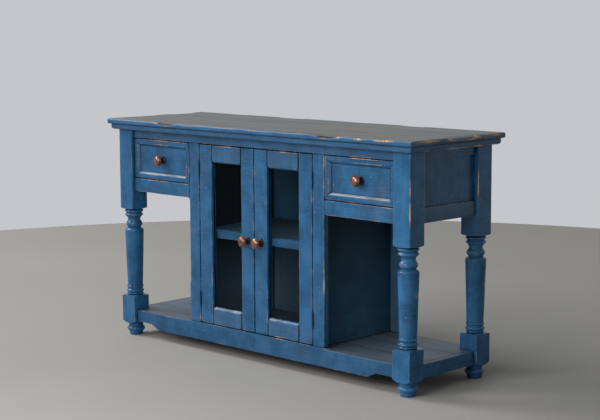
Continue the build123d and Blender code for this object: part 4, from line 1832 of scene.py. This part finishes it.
@dataclass
class Knob:
    """A turned copper knob: a flared foot, a neck, and a domed face inside a rolled rim.

    Fields:
        node: The knob's node.
        body: The body that it is screwed to.
        projection: How far it stands out from the board.
        head: The height where its head begins, and the darker neck ends.
        neck_fade: Over what height that fades out.
        face: The height of its face.
        groove: The radius of the groove inside the rim.
        groove_width: Half the groove's width.
        spin_steps: How many steps the turn has.
        outline: Radius and height above the board, in millimetres.
        screw: Radius and height of the screw's head behind the board, in millimetres.
    """

    node: str
    body: str
    projection: float = 36 * MM
    head: float = 21 * MM
    neck_dark: float = 0.95
    neck_fade: float = 3 * MM
    face: float = 27.5 * MM
    groove: float = 16.2 * MM
    groove_width: float = 0.5 * MM
    groove_dark: float = 0.9
    spin_steps: int = 40
    outline: tuple[Pair, ...] = (
        (0, 0), (13.6, 0), (14.0, 0.8), (13.9, 2.2), (13.0, 3.4), (10.8, 4.8), (8.8, 6.6), (7.5, 9.0),
        (7.0, 13.0), (7.4, 17.0), (8.8, 19.8), (11.5, 21.6), (15.0, 22.8), (17.6, 23.5), (18.7, 24.4),
        (19.0, 26.0), (18.8, 27.8), (18.0, 28.8), (17.0, 29.0), (16.3, 28.6), (15.9, 29.0), (15.5, 30.0),
        (14.4, 31.8), (12.4, 33.5), (9.4, 34.9), (5.4, 35.7), (0, 36.0),
    )
    screw: tuple[Pair, ...] = ((0, 0), (4.5, 0), (4.5, 1.2), (3.8, 2.0), (2.4, 2.4), (0, 2.5))

    def build(self) -> None:
        """Turn the knob and its screw's head, and stand them on the board."""
        low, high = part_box(self.node)
        middle = (low + high) / 2
        front = Vector((middle.x, low.y + self.projection, middle.z))
        back = Vector((middle.x, high.y - self.screw[-1][1] * MM, middle.z))
        pieces = []
        for outline, seat, turn in ((self.outline, front, 90), (self.screw, back, -90)):
            piece = lathe([(radius * MM, height * MM) for radius, height in outline], self.spin_steps)
            # Patina and painted shade: the foot and the neck under the head are darkened.
            carry(piece, "grime", self.grime(coordinates(piece)))
            piece.data.transform(Matrix.Translation(seat) @ Matrix.Rotation(math.radians(turn), 4, "X"))
            pieces.append(piece)
        place(join(f"{self.node}_turned", pieces), COPPER.material(), "copper_knob", self.body, self.node)

    def grime(self, points: np.ndarray) -> np.ndarray:
        """How dark each point is: the foot and the neck, patina and painted shade under the head, and the
        groove inside the rim.

        Args:
            points: The knob's points, with the board at the height 0.

        Returns:
            One value for each point, from 0 to 1.
        """
        x, y, z = points.T
        in_groove = (np.abs(np.hypot(x, y) - self.groove) < self.groove_width) & (z > self.face)
        return np.maximum(self.neck_dark * rise(self.head - z, self.neck_fade), self.groove_dark * in_groove)


@dataclass
class Drawer:
    """One drawer: a panel with a mitred moulding in front, a pine box behind and a copper knob.

    Fields:
        side: The side that it is on.
        clearance: The dark line round it.
        rub: How worn its arrises are.
        low_rub: How worn those of its low strip are.
        eased: The width of its arrises.
        painted_bevel_highlights: The low and the left strip's number, the axis across it and how pale its
            bevel is painted: a painted highlight.
        highlight_fade: Over what width that fades in.
    """

    side: str
    panel_rub: float = 0.2
    moulding_width: float = 24 * MM
    bevel: float = 8.4 * MM
    clearance: float = 1.1 * MM
    rub: float = 0.46
    low_rub: float = 0.20
    eased: float = 1.3 * MM
    painted_bevel_highlights: tuple[tuple[int, int, float], ...] = ((0, 2, 1.75), (2, 0, 0.55))
    highlight_fade: float = 1.5 * MM

    def build(self) -> None:
        """Model the front, and finish the box and the knob."""
        body = f"drawer_{self.side}"
        paint = PAINT.material(Grain.ALONG_X)
        panel = Board(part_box(f"{body}_front"), Grain.ALONG_X, self.panel_rub, (False, False)).build()
        place(join(f"{body}_panel", [panel]), paint, "painted_pine", body, f"{body}_front")
        low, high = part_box(f"{body}_moulding")
        room = Vector((self.clearance, 0.0, self.clearance))
        strips = MitredFrame((0, 2), low + room, high - room, self.moulding_width, self.bevel, 1, inner=True,
                             rub=self.rub, eased=self.eased)
        pieces = [strips.strip(number, None if number else self.low_rub) for number in range(4)]
        # Painted highlight: the bevels of the low and the left strip are painted paler.
        for number, axis, pale in self.painted_bevel_highlights:
            points = coordinates(pieces[number])[:, axis]
            carry(pieces[number], "faded", pale * rise(points - points.max() + self.bevel, self.highlight_fade))
        place(join(f"{body}_frame", pieces), paint, "painted_pine", body, f"{body}_moulding")
        for part, grain in (("sides", Grain.ALONG_Y), ("back", Grain.ALONG_X), ("bottom", Grain.ALONG_X)):
            dress(f"{body}_{part}", PINE.material(grain))
        Knob(f"{body}_knob", body).build()


@dataclass
class Door:
    """One glazed door: stiles and rails rebated for the glass, stops behind it and a copper knob.

    Fields:
        side: The side that it is on.
        glass_clearance: The room round the glass.
        joint_line: The dark line round each board.
        eased: The width of the boards' arrises.
        chamfer: The width of the rails' chamfer towards the glass.
    """

    side: str
    rub: float = 0.40
    rail_faded: float = 0.18
    glass_clearance: float = 1 * MM
    joint_line: float = 0.75 * MM
    eased: float = 2.4 * MM
    chamfer: float = 6 * MM

    def build(self) -> None:
        """Model the stiles and rails, and finish the rest."""
        body = f"door_{self.side}"
        room = Vector((self.joint_line, 0.0, self.joint_line))
        for member in (Member(f"{body}_stiles", Grain.ALONG_Z, 0.0, 0.0, self.rub),
                       Member(f"{body}_rails", Grain.ALONG_X, rub=self.rub, faded=self.rail_faded)):
            boards = member.boards()
            for board in boards:
                board.box = (board.box[0] + room, board.box[1] - room)
                board.eased = self.eased
            pieces = [self.rebated(self.board(board, body), body) for board in boards]
            piece = join(f"{member.node}_boards", pieces)
            place(piece, PAINT.material(member.grain), "painted_pine", body, member.node)
        dress(f"{body}_glass", GLASS.material())
        dress(f"{body}_glass_stops", PAINT.material(Grain.ALONG_Z))
        Knob(f"{body}_knob", body).build()
        dress(f"{body}_hinge_leaves", IRON.material())

    def board(self, board: Board, body: str) -> Piece:
        """Model a stile, or a rail with a chamfer towards the glass.

        Args:
            board: The board.
            body: The door's body.

        Returns:
            The new piece.
        """
        if board.grain is Grain.ALONG_Z:
            return board.build()
        low, high = board.box
        middle = sum(corner.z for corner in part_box(f"{body}_stiles")) / 2
        level = min(low.z, high.z, key=lambda height: abs(height - middle))
        piece = start_box(low, high)
        round_over(piece, lying_on((1, low.y), (2, level)), self.chamfer, 1)
        cross_cuts(piece, 0, board.spacing)
        return board.weather(piece)

    def rebated(self, board: Piece, body: str) -> Piece:
        """Cut the rebate for the glass out of a board's back.

        Args:
            board: The stile or rail.
            body: The door's body.

        Returns:
            The same board.
        """
        low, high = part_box(f"{body}_glass")
        room = Vector((self.glass_clearance, 0.0, self.glass_clearance))
        past = Vector((high.x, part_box(f"{body}_stiles")[1].y + 1 * MM, high.z))
        combine(board, start_box(low - room, past + room), Cut.TAKE_AWAY)
        return board


# Studio


@dataclass(frozen=True)
class Lamp:
    """A soft light on the object.

    Fields:
        name: Its name.
        kind: A softbox or a sun.
        place: Where it hangs; it faces the object.
        width: A softbox's width in metres, or a sun's angle in radians.
        power: A softbox's watts, or a sun's watts on each square metre.
        colour: Its colour.
        target: The point that it faces.
    """

    name: str
    kind: LampKind
    place: Point
    width: float
    power: float
    colour: str = "#FFFDF9"
    target: Point = (0.0, 0.0, 0.4)

    def build(self) -> None:
        """Hang the lamp."""
        lamp = bpy.data.lights.new(self.name, self.kind.value)
        if self.kind is LampKind.SUN:
            lamp.angle = self.width
        else:
            lamp.shape = "DISK"
            lamp.size = self.width
        lamp.energy = self.power
        lamp.color = linear(self.colour)[:3]
        light = bpy.data.objects.new(self.name, lamp)
        light.location = self.place
        light.rotation_euler = (Vector(self.target) - light.location).to_track_quat("-Z", "Y").to_euler()
        bpy.context.scene.collection.objects.link(light)


@dataclass
class Studio:
    """A plain pale floor, soft light from the front and the left, and the camera at the photograph's angle.

    Fields:
        eye: Where the camera stands.
        yaw, pitch, roll: How it is turned, in degrees.
        focal: Its focal length in pixels of the picture.
        picture_width: The picture's width in pixels.
        sensor: The width of the camera's sensor in millimetres.
        clip: The nearest and the farthest thing that the camera sees.
        floor_colours: The floor's two shades.
        floor_cloud: The size of the patches that they make.
        sky_colour: The surround that is seen.
        fill_colour: The surround's light on the object.
        fill: How strong that light is.
    """

    eye: Point = (3.6507, -3.6685, 1.1981)
    yaw: float = 44.621
    pitch: float = 7.617
    roll: float = -0.242
    focal: float = 1515.655
    picture_width: float = 600.0
    sensor: float = 36.0
    clip: Pair = (0.05, 200.0)
    floor_colours: tuple[str, str] = ("#A6A4A2", "#9C9A98")
    floor_cloud: float = 0.8
    floor_radius: float = 3.4
    floor_roughness: float = 0.75
    sky_colour: str = "#C4C6CA"
    fill_colour: str = "#CAD0C4"
    fill: float = 0.27
    lamps: tuple[Lamp, ...] = (
        Lamp("key_light", LampKind.SUN, (-2.5, -5.2, 3.5), 0.50, 0.92),
        Lamp("front_softbox", LampKind.SOFTBOX, (0.7, -2.2, 1.2), 1.2, 23.0),
        Lamp("window_softbox", LampKind.SOFTBOX, (-4.1, -1.7, 4.5), 3.2, 250.0),
    )

    def build(self) -> None:
        """Set the stage."""
        self.floor()
        self.sky()
        for lamp in self.lamps:
            lamp.build()
        self.camera()
        bpy.context.scene.view_settings.view_transform = "Standard"

    def floor(self) -> None:
        """A round plain floor, which ends where the surround begins."""
        bpy.ops.object.select_all(action="DESELECT")
        bpy.ops.mesh.primitive_circle_add(vertices=160, radius=self.floor_radius, fill_type="NGON")
        floor = bpy.context.object
        floor.name = "studio_floor"
        material, tree, shader = new_material("pale_floor")
        pale, dull = self.floor_colours
        colour = add(tree, "Mix", {0: cloudy(tree, self.floor_cloud, 3.0), 6: pale, 7: dull}, 2, **RGBA)
        feed(shader, {"Base Color": colour, "Roughness": self.floor_roughness})
        floor.data.materials.append(material)

    def sky(self) -> None:
        """A plain pale surround, which lights the object less than it shows."""
        world = bpy.data.worlds.new("studio_surround")
        world.use_nodes = True
        bpy.context.scene.world = world
        tree = world.node_tree
        tree.nodes.clear()
        seen = add(tree, "LightPath", out="Is Camera Ray")
        rays = seen.node.outputs
        for kind in ("Is Glossy Ray", "Is Transmission Ray"):
            seen = add(tree, "Math", {0: seen, 1: rays[kind]}, operation="MAXIMUM")
        strength = add(tree, "MapRange", {0: seen, 3: self.fill, 4: 1.0})
        colour = add(tree, "Mix", {0: seen, 6: self.fill_colour, 7: self.sky_colour}, 2, **RGBA)
        shown = add(tree, "Background", {"Color": colour, "Strength": strength})
        add(tree, "OutputWorld", {"Surface": shown})

    def camera(self) -> None:
        """The camera, turned by its yaw, pitch and roll."""
        yaw, pitch, roll = (math.radians(angle) for angle in (self.yaw, self.pitch, self.roll))
        ahead = Vector((-math.sin(yaw) * math.cos(pitch), math.cos(yaw) * math.cos(pitch), -math.sin(pitch)))
        right = Vector((math.cos(yaw), math.sin(yaw), 0.0))
        above = right.cross(ahead)
        turned_right = math.cos(roll) * right + math.sin(roll) * above
        turned_above = -math.sin(roll) * right + math.cos(roll) * above
        lens = bpy.data.cameras.new("photo_camera")
        lens.sensor_width = self.sensor
        lens.lens = self.sensor * self.focal / self.picture_width
        lens.clip_start, lens.clip_end = self.clip
        camera = bpy.data.objects.new("photo_camera", lens)
        turn = Matrix((turned_right, turned_above, -ahead)).transposed().to_4x4()
        camera.matrix_world = Matrix.Translation(self.eye) @ turn
        bpy.context.scene.collection.objects.link(camera)
        bpy.context.scene.camera = camera


def main() -> None:
    """Build the pieces in order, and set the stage."""
    logging.basicConfig(level=logging.INFO, format="%(message)s")
    builders = [Top(), Cornice(), Legs(), Frame(), Cupboard(), LowShelf()]
    builders += [Drawer(side) for side in SIDES]
    builders += [Door(side) for side in SIDES]
    for builder in builders:
        builder.build()
    dress("drawer_runners", PINE.material(Grain.ALONG_Y))
    for node in ("frame_hinge_leaves", "hinge_pins"):
        dress(node, IRON.material())
    Studio().build()


if __name__ == "__main__":
    main()
